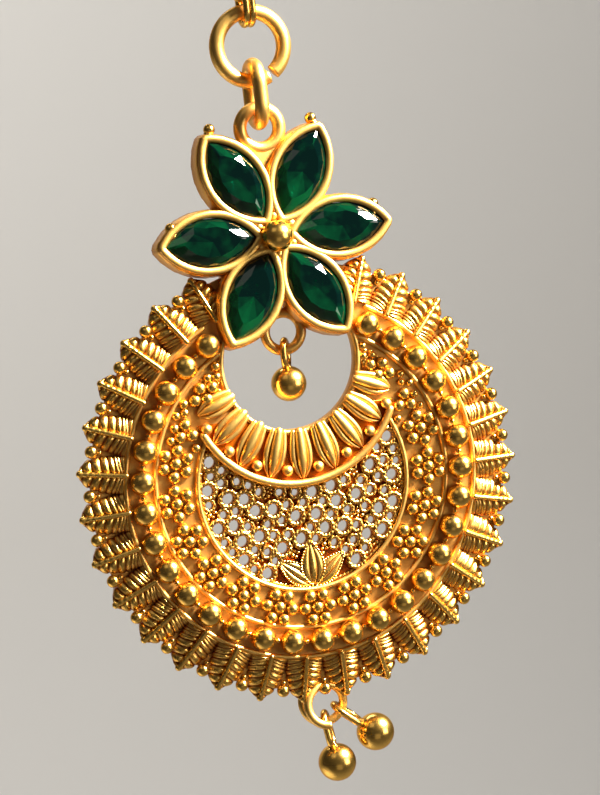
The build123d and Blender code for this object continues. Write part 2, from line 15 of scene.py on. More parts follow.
import bpy
import numpy as np
from mathutils import Matrix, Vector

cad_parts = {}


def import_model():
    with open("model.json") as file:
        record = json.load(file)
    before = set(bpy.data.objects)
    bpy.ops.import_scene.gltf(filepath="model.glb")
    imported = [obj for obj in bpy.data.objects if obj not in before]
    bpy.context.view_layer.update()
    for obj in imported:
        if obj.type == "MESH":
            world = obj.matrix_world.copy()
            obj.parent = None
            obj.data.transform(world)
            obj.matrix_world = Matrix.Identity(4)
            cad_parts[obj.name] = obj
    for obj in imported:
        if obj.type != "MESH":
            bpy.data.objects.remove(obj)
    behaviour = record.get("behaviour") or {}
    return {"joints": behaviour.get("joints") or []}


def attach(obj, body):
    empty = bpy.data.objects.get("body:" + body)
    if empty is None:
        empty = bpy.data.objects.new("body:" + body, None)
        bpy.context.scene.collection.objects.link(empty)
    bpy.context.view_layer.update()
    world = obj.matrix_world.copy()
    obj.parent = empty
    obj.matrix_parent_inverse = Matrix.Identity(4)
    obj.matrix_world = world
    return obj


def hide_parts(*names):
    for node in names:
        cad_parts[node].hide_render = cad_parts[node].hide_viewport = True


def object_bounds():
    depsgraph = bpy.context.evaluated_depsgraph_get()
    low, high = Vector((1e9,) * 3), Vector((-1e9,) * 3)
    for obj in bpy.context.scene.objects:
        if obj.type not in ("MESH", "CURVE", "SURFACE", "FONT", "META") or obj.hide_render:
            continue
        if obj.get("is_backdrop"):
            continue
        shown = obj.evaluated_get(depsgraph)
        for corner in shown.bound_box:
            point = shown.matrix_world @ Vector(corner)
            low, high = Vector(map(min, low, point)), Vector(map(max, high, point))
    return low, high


Array = np.ndarray
Colour = tuple[float, float, float]
Hole = tuple[float, float, float]
Point = tuple[float, float, float]
Spot = tuple[float, float]
log = logging.getLogger("maang_tikka")

METRES = 0.001
FLOOR_DROP = 0.45
# light painted shade given to the undersides of sheets and the feet of leaf walls
UNDERSIDE_PAINTED_SHADING = 0.25


class Axis(Enum):
    """Directions of the disc's frame."""

    ACROSS = 0
    UP = 1
    HEIGHT = 2

    def vector(self) -> Array:
        """The direction as a unit vector."""
        return np.eye(3)[self.value]


# ---- placing ------------------------------------------------------------------------------------
def shift(across: float = 0.0, up: float = 0.0, height: float = 0.0) -> Array:
    """A move, as a 4 by 4 matrix.

    Args:
        across: how far it goes across.
        up: how far up.
        height: how far towards the viewer.

    Returns:
        The matrix.
    """
    place = np.eye(4)
    place[:3, 3] = across, up, height
    return place


def spin(axis: Axis, angle: float) -> Array:
    """A right-handed turn about an axis, as a 4 by 4 matrix.

    Args:
        axis: the axis, through the origin.
        angle: the turn in degrees.

    Returns:
        The matrix.
    """
    first, second = [(1, 2), (2, 0), (0, 1)][axis.value]
    cosine, sine = math.cos(math.radians(angle)), math.sin(math.radians(angle))
    place = np.eye(4)
    place[first, first] = place[second, second] = cosine
    place[first, second], place[second, first] = -sine, sine
    return place


def turned_out(turns: Iterable[float], radius: float, height: float, centre_up: float = 0.0) -> Array:
    """Places on a circle, each with its across axis pointing away from the centre.

    Args:
        turns: angles in degrees from the frame's across axis.
        radius: the circle's radius.
        height: the height of every place.
        centre_up: how far the circle's centre is up the disc.

    Returns:
        One 4 by 4 matrix for each turn, stacked.
    """
    centre = shift(0.0, centre_up, height)
    return np.array([centre @ spin(Axis.HEIGHT, turn) @ shift(radius) for turn in turns])


def from_bottom(radius: float, angle: float, centre_up: float = 0.0) -> Spot:
    """The point on a circle at an angle in degrees from straight down, positive to the right."""
    turn = math.radians(angle)
    return radius * math.sin(turn), centre_up - radius * math.cos(turn)


def spread(count: int, step: float) -> list[float]:
    """Angles a step apart, as many to the left as to the right of 0."""
    return [(number - (count - 1) / 2) * step for number in range(count)]


def at_spots(spots: Sequence[Spot], height: float, sizes: Sequence[float] | float = 1.0) -> Array:
    """Places over points of the disc.

    Args:
        spots: the points.
        height: the height of every place.
        sizes: how many times larger a copy is made there, one number or one for each point.

    Returns:
        One 4 by 4 matrix for each point, stacked.
    """
    places = np.array([shift(across, up, height) for across, up in spots])
    places[:, :3, :3] *= np.broadcast_to(sizes, len(spots))[:, None, None]
    return places


def nearest(across: float, up: float, spots: Iterable[Spot]) -> float:
    """The distance from a point of the disc to the nearest of some spots, endless if there are none."""
    return min((math.hypot(across - x, up - y) for x, y in spots), default=math.inf)


def unit(vectors: Array) -> Array:
    """A vector, or each row of several, at length 1."""
    return vectors / np.linalg.norm(vectors, axis=-1, keepdims=True)


# ---- skins --------------------------------------------------------------------------------------
@dataclass
class Skin:
    """Closed skins in millimetres, with painted shading at each point, from 0 to 1."""

    points: Array
    quads: Array
    triangles: Array
    age: Array

    @classmethod
    def from_grid(
        cls,
        grid: Array,
        age: Array | float = 0.0,
        ring: bool = False,
        poles: tuple[Array, Array] | None = None,
    ) -> "Skin":
        """A skin over a grid whose columns close on themselves.

        Args:
            grid: points in rows and columns.
            age: painted shade on gold or painted glow in glass, a number or one value for each point.
            ring: whether the last row joins the first.
            poles: the two points that close the ends of an open grid, or None for the middles of
                its end rows.

        Returns:
            The skin, with its faces turned outwards.
        """
        rows, columns = grid.shape[:2]
        index = np.arange(rows * columns).reshape(rows, columns)
        beside = np.roll(index, -1, axis=1)
        above, above_beside = np.roll(index, -1, axis=0), np.roll(beside, -1, axis=0)
        last = rows if ring else rows - 1
        quads = np.stack([index, beside, above_beside, above], axis=-1)[:last].reshape(-1, 4)
        points = grid.reshape(-1, 3)
        painted_shadings = np.broadcast_to(np.asarray(age, float), (rows, columns)).reshape(-1)
        triangles = np.zeros((0, 3), int)
        if not ring:
            ends = poles or (grid[0].mean(axis=0), grid[-1].mean(axis=0))
            points = np.vstack([points, ends])
            painted_shadings = np.concatenate([painted_shadings, [painted_shadings[:columns].mean(), painted_shadings[-columns:].mean()]])
            first_pole, last_pole = rows * columns, rows * columns + 1
            foot = np.stack([beside[0], index[0], np.full(columns, first_pole)], axis=-1)
            head = np.stack([index[-1], beside[-1], np.full(columns, last_pole)], axis=-1)
            triangles = np.vstack([foot, head])
        skin = cls(points, quads, triangles, painted_shadings)
        return skin if skin.volume() > 0 else skin.inside_out()

    def corners(self) -> Array:
        """Every face as triangles of point numbers."""
        halves = [self.quads[:, [0, 1, 2]], self.quads[:, [0, 2, 3]], self.triangles]
        return np.vstack(halves)

    def volume(self) -> float:
        """The signed volume: each triangle with the origin makes a tetrahedron."""
        first, second, third = (self.points[self.corners()[:, number]] for number in range(3))
        return float(np.einsum("ij,ij->", first, np.cross(second, third)) / 6)

    def facet_painted_shadings(self) -> Array:
        """One painted shading value for each triangle: its corners' mean, moved a little by which way it
        faces.

        The move is a painted light that differs from facet to facet: 0.22 times the sine of 9 times
        its normal's first part plus 7 times its second, so that the triangles of one flat facet have the same
        one.

        Returns:
            The ages.
        """
        first, second, third = (self.points[self.triangles[:, number]] for number in range(3))
        normal = unit(np.cross(second - first, third - first))
        move = 0.22 * np.sin(9 * normal[:, 0] + 7 * normal[:, 1])
        return np.clip(self.age[self.triangles].mean(axis=1) + move, 0, 1)

    def inside_out(self) -> "Skin":
        """The same skin with its faces turned round."""
        return Skin(self.points, self.quads[:, ::-1], self.triangles[:, ::-1], self.age)

    def placed(self, places: Array) -> "Skin":
        """Copies of the skin.

        Args:
            places: one 4 by 4 matrix, or several stacked.

        Returns:
            One skin that holds a copy at each place.
        """
        places = places.reshape(-1, 4, 4)
        count, size = len(places), len(self.points)
        moved = np.einsum("kij,nj->kni", places[:, :3, :3], self.points) + places[:, None, :3, 3]
        steps = np.arange(count)[:, None, None] * size
        return Skin(
            moved.reshape(-1, 3),
            (self.quads[None] + steps).reshape(-1, 4),
            (self.triangles[None] + steps).reshape(-1, 3),
            np.tile(self.age, count),
        )


def together(skins: Sequence[Skin]) -> Skin:
    """Several skins as one.

    Args:
        skins: the skins, which stay closed each on its own.

    Returns:
        The one skin.
    """
    starts = np.cumsum([0] + [len(skin.points) for skin in skins[:-1]])
    return Skin(
        np.vstack([skin.points for skin in skins]),
        np.vstack([skin.quads + start for skin, start in zip(skins, starts)]),
        np.vstack([skin.triangles + start for skin, start in zip(skins, starts)]),
        np.concatenate([skin.age for skin in skins]),
    )


@dataclass(frozen=True)
class Ball:
    """A kind of ball: its radius, how finely it is divided, and how much painted shade its lowest point gets.
    """

    radius: float
    columns: int = 20
    rows: int = 12
    age: float = 0.0

    def skin(self) -> Skin:
        """Make one about the origin.

        Its points are the radius times (sine of the polar angle times cosine and sine of the turn,
        cosine of the polar angle). Its underside carries a painted shade, darkest at the lowest point.

        Returns:
            The skin.
        """
        polar = np.linspace(0, math.pi, self.rows + 2)[1:-1, None]
        turn = np.linspace(0, 2 * math.pi, self.columns, endpoint=False)[None, :]
        height = np.broadcast_to(np.cos(polar), (self.rows, self.columns))
        grid = np.stack([np.sin(polar) * np.cos(turn), np.sin(polar) * np.sin(turn), height], axis=-1)
        top = np.array([0.0, 0.0, self.radius])
        return Skin.from_grid(self.radius * grid, self.age * np.clip(0.1 - height, 0, 1), poles=(top, -top))


def wire(
    path: Array,
    radius: Array | float,
    up: Array,
    closed: bool = False,
    sides: int = 12,
    dome: float = 1.0,
    age: Array | float = 0.0,
) -> Skin:
    """Round wire along a path.

    A section's points are the path's point plus the radius times (cosine of the turn times the
    side direction plus sine of the turn times the lift direction). The side is square to the path
    and to the up direction, and the lift is square to both.

    Args:
        path: the middle of the wire, one point a row.
        radius: the wire's radius, a number or an array of rows and sides.
        up: a direction that the path never follows.
        closed: whether the wire joins itself.
        sides: points round the wire.
        dome: how far an open end bulges, as a share of the radius.
        age: how much painted shade the metal gets.

    Returns:
        The skin.
    """
    if closed:
        along = np.roll(path, -1, axis=0) - np.roll(path, 1, axis=0)
    else:
        along = np.gradient(path, axis=0)
    along = unit(along)
    side = unit(np.cross(along, up))
    lift = np.cross(side, along)
    turn = np.linspace(0, 2 * math.pi, sides, endpoint=False)[None, :, None]
    section = np.cos(turn) * side[:, None] + np.sin(turn) * lift[:, None]
    radii = np.broadcast_to(np.asarray(radius, float), (len(path), sides))[..., None]
    grid = path[:, None] + radii * section
    painted_shadings = np.broadcast_to(np.asarray(age, float), (len(path), sides))
    if closed:
        return Skin.from_grid(grid, painted_shadings, ring=True)
    slope = np.radians([80.0, 55.0, 28.0])[:, None, None]
    start = path[0] + radii[0] * (np.cos(slope) * section[0] - dome * np.sin(slope) * along[0])
    end = path[-1] + radii[-1] * (np.cos(slope) * section[-1] + dome * np.sin(slope) * along[-1])
    grid = np.concatenate([start, grid, end[::-1]])
    painted_shadings = np.concatenate([np.repeat(painted_shadings[:1], 3, axis=0), painted_shadings, np.repeat(painted_shadings[-1:], 3, axis=0)])
    return Skin.from_grid(grid, painted_shadings)


def arc(radius: float, start: float, end: float, count: int, centre_up: float = 0.0) -> Array:
    """Points of a circular arc in the plane of the disc.

    Args:
        radius: the arc's radius.
        start: its first angle in degrees from straight down, positive to the right.
        end: its last angle.
        count: how many points.
        centre_up: how far its centre is up the disc.

    Returns:
        The points, one a row, at height 0.
    """
    turn = np.radians(np.linspace(start, end, count))
    return np.stack([radius * np.sin(turn), centre_up - radius * np.cos(turn), 0 * turn], axis=-1)


def circle(radius: float, count: int, centre_up: float = 0.0) -> Array:
    """A whole circle in the plane of the disc, as evenly spaced points from straight down."""
    return arc(radius, 0, 360 - 360 / count, count, centre_up)


def swept(radius: Array | float, turn: Array) -> Array:
    """Points at turns in radians from across to up: the radius times their cosine and their sine."""
    return np.stack([radius * np.cos(turn), radius * np.sin(turn), 0 * turn], axis=-1)


def hoop(bend: float, straight: float, count: int = 72) -> Array:
    """The closed middle line of a long ring: two half circles joined by two straights along up.

    Args:
        bend: radius of the half circles.
        straight: length of each straight.
        count: how many points.

    Returns:
        The points, evenly spaced, one a row.
    """
    length = 2 * math.pi * bend + 2 * straight
    run = np.linspace(0, length, count, endpoint=False)
    half = math.pi * bend
    first = run < half
    second = (run >= half) & (run < half + straight)
    third = (run >= half + straight) & (run < 2 * half + straight)
    turn = np.where(first, run / bend, (run - half - straight) / bend + math.pi)
    across = np.where(first | third, bend * np.cos(turn), np.where(second, -bend, bend))
    top, low = straight / 2 + bend * np.sin(turn), -straight / 2 + bend * np.sin(turn)
    down = straight / 2 - (run - half)
    rise = -straight / 2 + (run - 2 * half - straight)
    up = np.where(first, top, np.where(second, down, np.where(third, low, rise)))
    return np.stack([across, up, 0 * up], axis=-1)


def bent(corners: Sequence[Spot], radius: float, count: int = 9) -> Array:
    """A line through corners in the plane of across and up, each inner corner rounded by an arc.

    Args:
        corners: the line's ends and corners.
        radius: radius of every arc.
        count: points of each arc.

    Returns:
        The points, one a row, at height 0.
    """
    spots = np.array(corners, float)
    line = [spots[:1]]
    for before, here, after in zip(spots, spots[1:], spots[2:]):
        back, ahead = unit(before - here), unit(after - here)
        half = math.acos(float(np.clip(back @ ahead, -1, 1))) / 2
        bisector, cross = unit(back + ahead), unit(back - ahead)
        middle = here + bisector * radius / math.sin(half)
        turn = np.linspace(1, -1, count)[:, None] * (math.pi / 2 - half)
        line.append(middle - radius * (np.cos(turn) * bisector - np.sin(turn) * cross))
    flat = np.vstack([*line, spots[-1:]])
    return np.column_stack([flat, np.zeros(len(flat))])


def sheet(outlines: Sequence[Array], low: float, high: float, bevel: float, age: float = 0.3) -> Skin:
    """A flat sheet cut along outlines, with its edges broken all round.

    Args:
        outlines: closed lines in the plane of the disc; a line inside another is a hole.
        low: height of the underside.
        high: height of the face.
        bevel: size of the broken edge.
        age: how much painted shade its face gets; its underside gets a light painted shade.

    Returns:
        The skin.
    """
    curve = bpy.data.curves.new("cut_sheet", "CURVE")
    curve.dimensions = "2D"
    curve.fill_mode = "BOTH"
    curve.extrude = (high - low) / 2 - bevel
    curve.bevel_depth = bevel
    curve.bevel_resolution = 1
    curve.offset = -bevel
    for outline in outlines:
        spline = curve.splines.new("POLY")
        spline.points.add(len(outline) - 1)
        spline.points.foreach_set("co", np.column_stack([outline, np.ones(len(outline))]).ravel())
        spline.use_cyclic_u = True
    holder = bpy.data.objects.new("cut_sheet", curve)
    mesh = bpy.data.meshes.new_from_object(holder)
    points = np.empty(3 * len(mesh.vertices), np.float32)
    sizes, starts = np.empty((2, len(mesh.polygons)), np.int32)
    corners = np.empty(len(mesh.loops), np.int32)
    mesh.vertices.foreach_get("co", points)
    mesh.polygons.foreach_get("loop_total", sizes)
    mesh.polygons.foreach_get("loop_start", starts)
    mesh.loops.foreach_get("vertex_index", corners)
    bpy.data.objects.remove(holder)
    bpy.data.curves.remove(curve)
    bpy.data.meshes.remove(mesh)
    middle = (low + high) / 2
    points = points.reshape(-1, 3).astype(float) + [0, 0, middle]
    quads, triangles = (corners[starts[sizes == size][:, None] + np.arange(size)] for size in (4, 3))
    # the face gets the given painted shade, the underside the light underside painted shade
    skin = Skin(points, quads, triangles, np.where(points[:, 2] > middle, age, UNDERSIDE_PAINTED_SHADING))
    return skin if skin.volume() > 0 else skin.inside_out()


# ---- shader maths -------------------------------------------------------------------------------
class Signal:
    """One output socket, with the arithmetic that the finishes use on it."""

    def __init__(self, bench: "Bench", socket: bpy.types.NodeSocket) -> None:
        """Keep the bench that the socket belongs to, and the socket."""
        self.bench = bench
        self.socket = socket

    def maths(self, operation: str, first: Any, second: Any = 0.0) -> "Signal":
        """A Math node of that operation on two signals or numbers."""
        return self.bench.make("ShaderNodeMath", {"operation": operation}, {0: first, 1: second})

    def __add__(self, other: Any) -> "Signal":
        """Sum."""
        return self.maths("ADD", self, other)

    def __sub__(self, other: Any) -> "Signal":
        """Difference."""
        return self.maths("SUBTRACT", self, other)

    def __rsub__(self, other: Any) -> "Signal":
        """Difference the other way round."""
        return self.maths("SUBTRACT", other, self)

    def __mul__(self, other: Any) -> "Signal":
        """Product."""
        return self.maths("MULTIPLY", self, other)

    __radd__ = __add__
    __rmul__ = __mul__

    def limited(self) -> "Signal":
        """The value held between 0 and 1."""
        return self.maths("MINIMUM", self.maths("MAXIMUM", self, 0.0), 1.0)


class Bench:
    """The node tree of one material while it is being built."""

    def __init__(self, name: str) -> None:
        """Start a material with an empty tree.

        Args:
            name: the material's name.
        """
        self.material = bpy.data.materials.new(name)
        self.material.use_nodes = True
        self.tree = self.material.node_tree
        self.tree.nodes.clear()

    def make(
        self,
        kind: str,
        settings: dict[str, Any] | None = None,
        inputs: dict[Any, Any] | None = None,
        out: Any = 0,
    ) -> Signal:
        """Add a node.

        Args:
            kind: the node's type name.
            settings: its properties; "stops" gives a ramp's positions and colours.
            inputs: values or signals for its sockets, by name or number.
            out: the output that is wanted, by name or number.

        Returns:
            That output.
        """
        node = self.tree.nodes.new(kind)
        for key, value in (settings or {}).items():
            if key == "stops":
                while len(node.color_ramp.elements) < len(value):
                    node.color_ramp.elements.new(1.0)
                for element, (position, colour) in zip(node.color_ramp.elements, value):
                    element.position, element.color = position, (*colour, 1.0)
            else:
                setattr(node, key, value)
        for key, value in (inputs or {}).items():
            if isinstance(value, Signal):
                self.tree.links.new(value.socket, node.inputs[key])
            else:
                node.inputs[key].default_value = value
        return Signal(self, node.outputs[out])

    def blend(self, share: Signal, first: Any, second: Any) -> Signal:
        """A colour between two colours.

        Args:
            share: how much of the second one there is.
            first: a colour or a signal.
            second: another.

        Returns:
            The blend.
        """
        settings = {"data_type": "RGBA"}
        colours = [value if isinstance(value, Signal) else (*value, 1.0) for value in (first, second)]
        return self.make("ShaderNodeMix", settings, {0: share, 6: colours[0], 7: colours[1]}, out=2)

    def age(self) -> Signal:
        """The surface's painted shading attribute: painted shade on the gold, a painted glow in the stones.
        """
        return self.make("ShaderNodeAttribute", {"attribute_name": "age"}, out="Fac")

    def noise(self, grain: float, detail: float = 3.0, roughness: float = 0.5) -> Signal:
        """Noise over the object's own coordinates.

        Args:
            grain: size of its largest spots, in millimetres.
            detail: how many finer layers it has.
            roughness: how strong they are.

        Returns:
            A value about 0.5.
        """
        where = self.make("ShaderNodeTexCoord", out="Object")
        inputs = {"Vector": where, "Scale": 1 / (grain * METRES), "Detail": detail, "Roughness": roughness}
        return self.make("ShaderNodeTexNoise", None, inputs)

    def finished(self, sockets: dict[str, Any]) -> bpy.types.Material:
        """Close the tree with a Principled shader.

        Args:
            sockets: values and signals for its sockets.

        Returns:
            The material.
        """
        surface = self.make("ShaderNodeBsdfPrincipled", None, sockets)
        output = self.tree.nodes.new("ShaderNodeOutputMaterial")
        self.tree.links.new(surface.socket, output.inputs["Surface"])
        return self.material


@dataclass(frozen=True)
class GoldFinish:
    """A finish of the yellow gold plating, bright on the high spots and painted brown shade in the recesses.

    Its cloud, grain and relief depth are millimetres, and a share says how far a noise moves a value.
    """

    title: str
    bright: Colour
    deep: Colour
    roughness: float
    dulling: float
    grain: float
    relief: float
    relief_depth: float = 0.03
    cloud: float = 4.0
    cloud_share: float = 0.5
    grain_share: float = 0.35
    grain_dulling: float = 0.16
    edge_tint: Colour = (0.62, 0.40, 0.20)
    coat: float = 0.45
    coat_roughness: float = 0.20

    def material(self) -> bpy.types.Material:
        """Build it: the painted shade attribute and two sizes of noise set its colour, its roughness and a
        fine relief.

        Returns:
            The material.
        """
        bench = Bench(self.title)
        cloud = bench.noise(self.cloud, 2.0)
        fine = bench.noise(self.grain, 4.0, 0.6)
        # painted shade from the attribute plus random tone from two noises; it blends the bright colour
        # towards the deep painted-shade colour
        shading_and_wear = bench.age() + (cloud - 0.5) * self.cloud_share + (fine - 0.5) * self.grain_share
        shading_and_wear_share = shading_and_wear.limited()
        roughness = shading_and_wear_share * self.dulling + (fine - 0.5) * self.grain_dulling + self.roughness
        lines = {"Strength": self.relief, "Distance": self.relief_depth * METRES, "Height": fine}
        sockets = {
            "Base Color": bench.blend(shading_and_wear_share, self.bright, self.deep),
            "Metallic": 1.0,
            "Roughness": roughness.limited(),
            "Specular Tint": (*self.edge_tint, 1.0),
            "Coat Weight": self.coat,
            "Coat Roughness": self.coat_roughness,
            "Normal": bench.make("ShaderNodeBump", None, lines),
        }
        return bench.finished(sockets)


@dataclass(frozen=True)
class EmeraldFinish:
    """Deep green faceted glass, lighter where light from above gathers at its lower left."""

    title: str
    dark: Colour
    glow: Colour
    veil: float = 1.6
    veil_share: float = 0.5
    roughness: float = 0.03
    refraction: float = 1.58
    clearness: float = 0.40
    gloss: float = 0.6

    def material(self) -> bpy.types.Material:
        """Build it: clear green glass whose tint follows its painted glow attribute and a soft noise.

        Returns:
            The material.
        """
        bench = Bench(self.title)
        # the tint goes from the dark glass colour to the painted glow colour
        share = bench.age() + (bench.noise(self.veil, 2.0) - 0.5) * self.veil_share
        sockets = {
            "Base Color": bench.blend(share.limited(), self.dark, self.glow),
            "Roughness": self.roughness,
            "IOR": self.refraction,
            "Transmission Weight": self.clearness,
            "Specular IOR Level": self.gloss,
        }
        return bench.finished(sockets)


class Gold(Enum):
    """The finishes of the gold."""

    # each finish's second colour is the deep colour of the painted shade in recesses and undersides
    POLISHED = GoldFinish("gold_polished", (0.98, 0.58, 0.12), (0.34, 0.06, 0.001), 0.21, 0.16, 0.12, 0.10)
    SATIN = GoldFinish("gold_satin", (0.98, 0.59, 0.15), (0.38, 0.08, 0.002), 0.37, 0.14, 0.14, 0.55)
    CAST = GoldFinish("gold_cast", (1.0, 0.60, 0.13), (0.25, 0.04, 0.001), 0.26, 0.20, 0.18, 0.40)


# dark glass colour, and the colour of the painted glow at the stones' lower left
EMERALD = EmeraldFinish("emerald_glass", (0.0, 0.0035, 0.003), (0.001, 0.085, 0.024))
Piece = tuple[str, Skin, Gold]


class Workshop:
    """Makes the finished objects, with one material for each finish."""

    def __init__(self) -> None:
        """Start with no materials."""
        self.materials: dict[Any, bpy.types.Material] = {}

    def material(self, finish: Gold | EmeraldFinish) -> bpy.types.Material:
        """A finish's material, built when it is first asked for.

        Args:
            finish: the finish.

        Returns:
            The material.
        """
        if finish not in self.materials:
            made = finish.value if isinstance(finish, Gold) else finish
            self.materials[finish] = made.material()
        return self.materials[finish]

    def piece(
        self,
        name: str,
        skin: Skin,
        place: Array,
        finish: Gold | EmeraldFinish,
        body: str,
        nodes: Sequence[str],
        smooth: bool = True,
    ) -> bpy.types.Object:
        """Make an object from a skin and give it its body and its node.

        Args:
            name: the object's name.
            skin: its shape, in millimetres.
            place: the matrix from the skin's frame to the object's frame, in millimetres.
            finish: its finish.
            body: the body that it rides on.
            nodes: the nodes that it stands for.
            smooth: whether it is shaded smooth.

        Returns:
            The object.
        """
        laid = skin.placed(place)
        mesh = bpy.data.meshes.new(name)
        faces = laid.quads.tolist() + laid.triangles.tolist()
        mesh.from_pydata((laid.points * METRES).tolist(), [], faces)
        mesh.polygons.foreach_set("use_smooth", np.full(len(faces), smooth))
        # painted shading per point, or per facet for the flat-shaded stones
        painted_shadings, domain = (laid.age, "POINT") if smooth else (laid.facet_painted_shadings(), "FACE")
        mesh.attributes.new("age", "FLOAT", domain).data.foreach_set("value", painted_shadings.astype(np.float32))
        mesh.materials.append(self.material(finish))
        mesh.update()
        made = bpy.data.objects.new(name, mesh)
        bpy.context.scene.collection.objects.link(made)
        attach(made, body)
        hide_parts(*nodes)
        log.info("%s: %d triangles", name, len(laid.corners()))
        return made


class Assembly:
    """A part of the jewel, which knows the pieces that are the pendant's own metal."""

    def pieces(self) -> list[Piece]:
        """Those pieces, each as its name, its skin in the disc's frame and its finish."""
        raise NotImplementedError

    def dress(self, workshop: Workshop, place: Array) -> None:
        """Make them.

        Args:
            workshop: makes the objects.
            place: the matrix from the disc's frame to the object's.
        """
        for name, skin, finish in self.pieces():
            workshop.piece(name, skin, place, finish, "jewel", ["pendant"])


# ---- the disc -----------------------------------------------------------------------------------
@dataclass(frozen=True)
class ArcWire:
    """A plain wire on an arc: its reach each way from straight down in degrees, and its section."""

    reach: float
    height: float
    radius: float
    points: int
    sides: int
    age: float
    shade: float = 0.0

    def skin(self, ring: float, centre_up: float = 0.0) -> Skin:
        """Lay the wire along a circle.

        At a turn a round the wire, its painted shade grows by the shade times (-0.4 sine a - cosine a)
        where that is over 0, which is the side that faces the circle's middle and the plate.

        Args:
            ring: the circle's radius.
            centre_up: how far the circle's centre is up the disc.

        Returns:
            The skin.
        """
        path = arc(ring, -self.reach, self.reach, self.points, centre_up) + [0, 0, self.height]
        turn = np.linspace(0, 2 * math.pi, self.sides, endpoint=False)[None, :]
        shade = self.shade * np.clip(-0.4 * np.sin(turn) - np.cos(turn), 0, 1)
        return wire(path, self.radius, Axis.HEIGHT.vector(), sides=self.sides, age=self.age + shade)


@dataclass
class Disc(Assembly):
    """The round casting's plate, its opening and its plain wires, on which the rest stands.

    A ring is a circle's radius, and a height is over the disc's plane.
    """

    plate_ring: float = 15.75
    plate_face: float = -0.50
    back: float = -1.60
    flange_rings: tuple[float, float] = (18.45, 15.45)
    flange_face: float = -1.05
    opening_radius: float = 5.9
    opening_up: float = 10.0
    # each wire's sixth number is its painted shade; the rim's seventh adds painted shade on its side towards
    # the plate
    opening_wire: ArcWire = ArcWire(132, -0.40, 0.24, 200, 12, 0.15)
    filigree_radius: float = 9.35
    filigree_up: float = -0.4
    filigree_wire: ArcWire = ArcWire(118, -0.40, 0.21, 200, 10, 0.05)
    rim_radius: float = 9.3
    rim_up: float = 8.8
    rim_wire: ArcWire = ArcWire(64, -0.05, 0.35, 150, 14, 0.02, 0.8)
    channel_rings: tuple[float, float] = (12.98, 15.58)
    channel_wire: ArcWire = ArcWire(152, -0.42, 0.22, 260, 10, 0.12)
    band_top: float = 5.6

    def window(self, inset: float) -> Array:
        """The outline of the pierced work: the filigree circle without what the rim circle covers.

        Args:
            inset: how far inside both circles the outline runs.

        Returns:
            The outline's points.
        """
        outer, inner = self.filigree_radius - inset, self.rim_radius + inset
        gap = self.rim_up - self.filigree_up
        top = self.filigree_up - (inner**2 - outer**2 - gap**2) / (2 * gap)
        rim_reach = math.degrees(math.acos((self.rim_up - top) / inner))
        outer_reach = math.degrees(math.acos((self.filigree_up - top) / outer))
        left = arc(outer, -outer_reach, outer_reach, 120, self.filigree_up)
        right = arc(inner, rim_reach, -rim_reach, 80, self.rim_up)
        return np.vstack([left, right[1:-1]])

    def plate(self) -> Skin:
        """The plate with its two windows, and the thinner flange round it."""
        opening = circle(self.opening_radius, 120, self.opening_up)
        outlines = [circle(self.plate_ring, 180), opening, self.window(0.0)]
        flange = [circle(ring, 180) for ring in self.flange_rings]
        # plate and flange faces get a painted shade of 0.55 and 0.6
        plate_skin = sheet(outlines, self.back, self.plate_face, bevel=0.07, age=0.55)
        return together([plate_skin, sheet(flange, self.back, self.flange_face, bevel=0.06, age=0.6)])

    def wires(self) -> Skin:
        """The plain wires: both sides of the bead channel, the filigree circle, rim and opening."""
        channel = [self.channel_wire.skin(ring) for ring in self.channel_rings]
        filigree = self.filigree_wire.skin(self.filigree_radius, self.filigree_up)
        rim = self.rim_wire.skin(self.rim_radius, self.rim_up)
        opening = self.opening_wire.skin(self.opening_radius + 0.2, self.opening_up)
        return together([*channel, filigree, rim, opening])

    def pieces(self) -> list[Piece]:
        """The plate and the plain wires."""
        return [
            ("disc_plate", self.plate(), Gold.SATIN),
            ("plain_wires", self.wires(), Gold.SATIN),
        ]


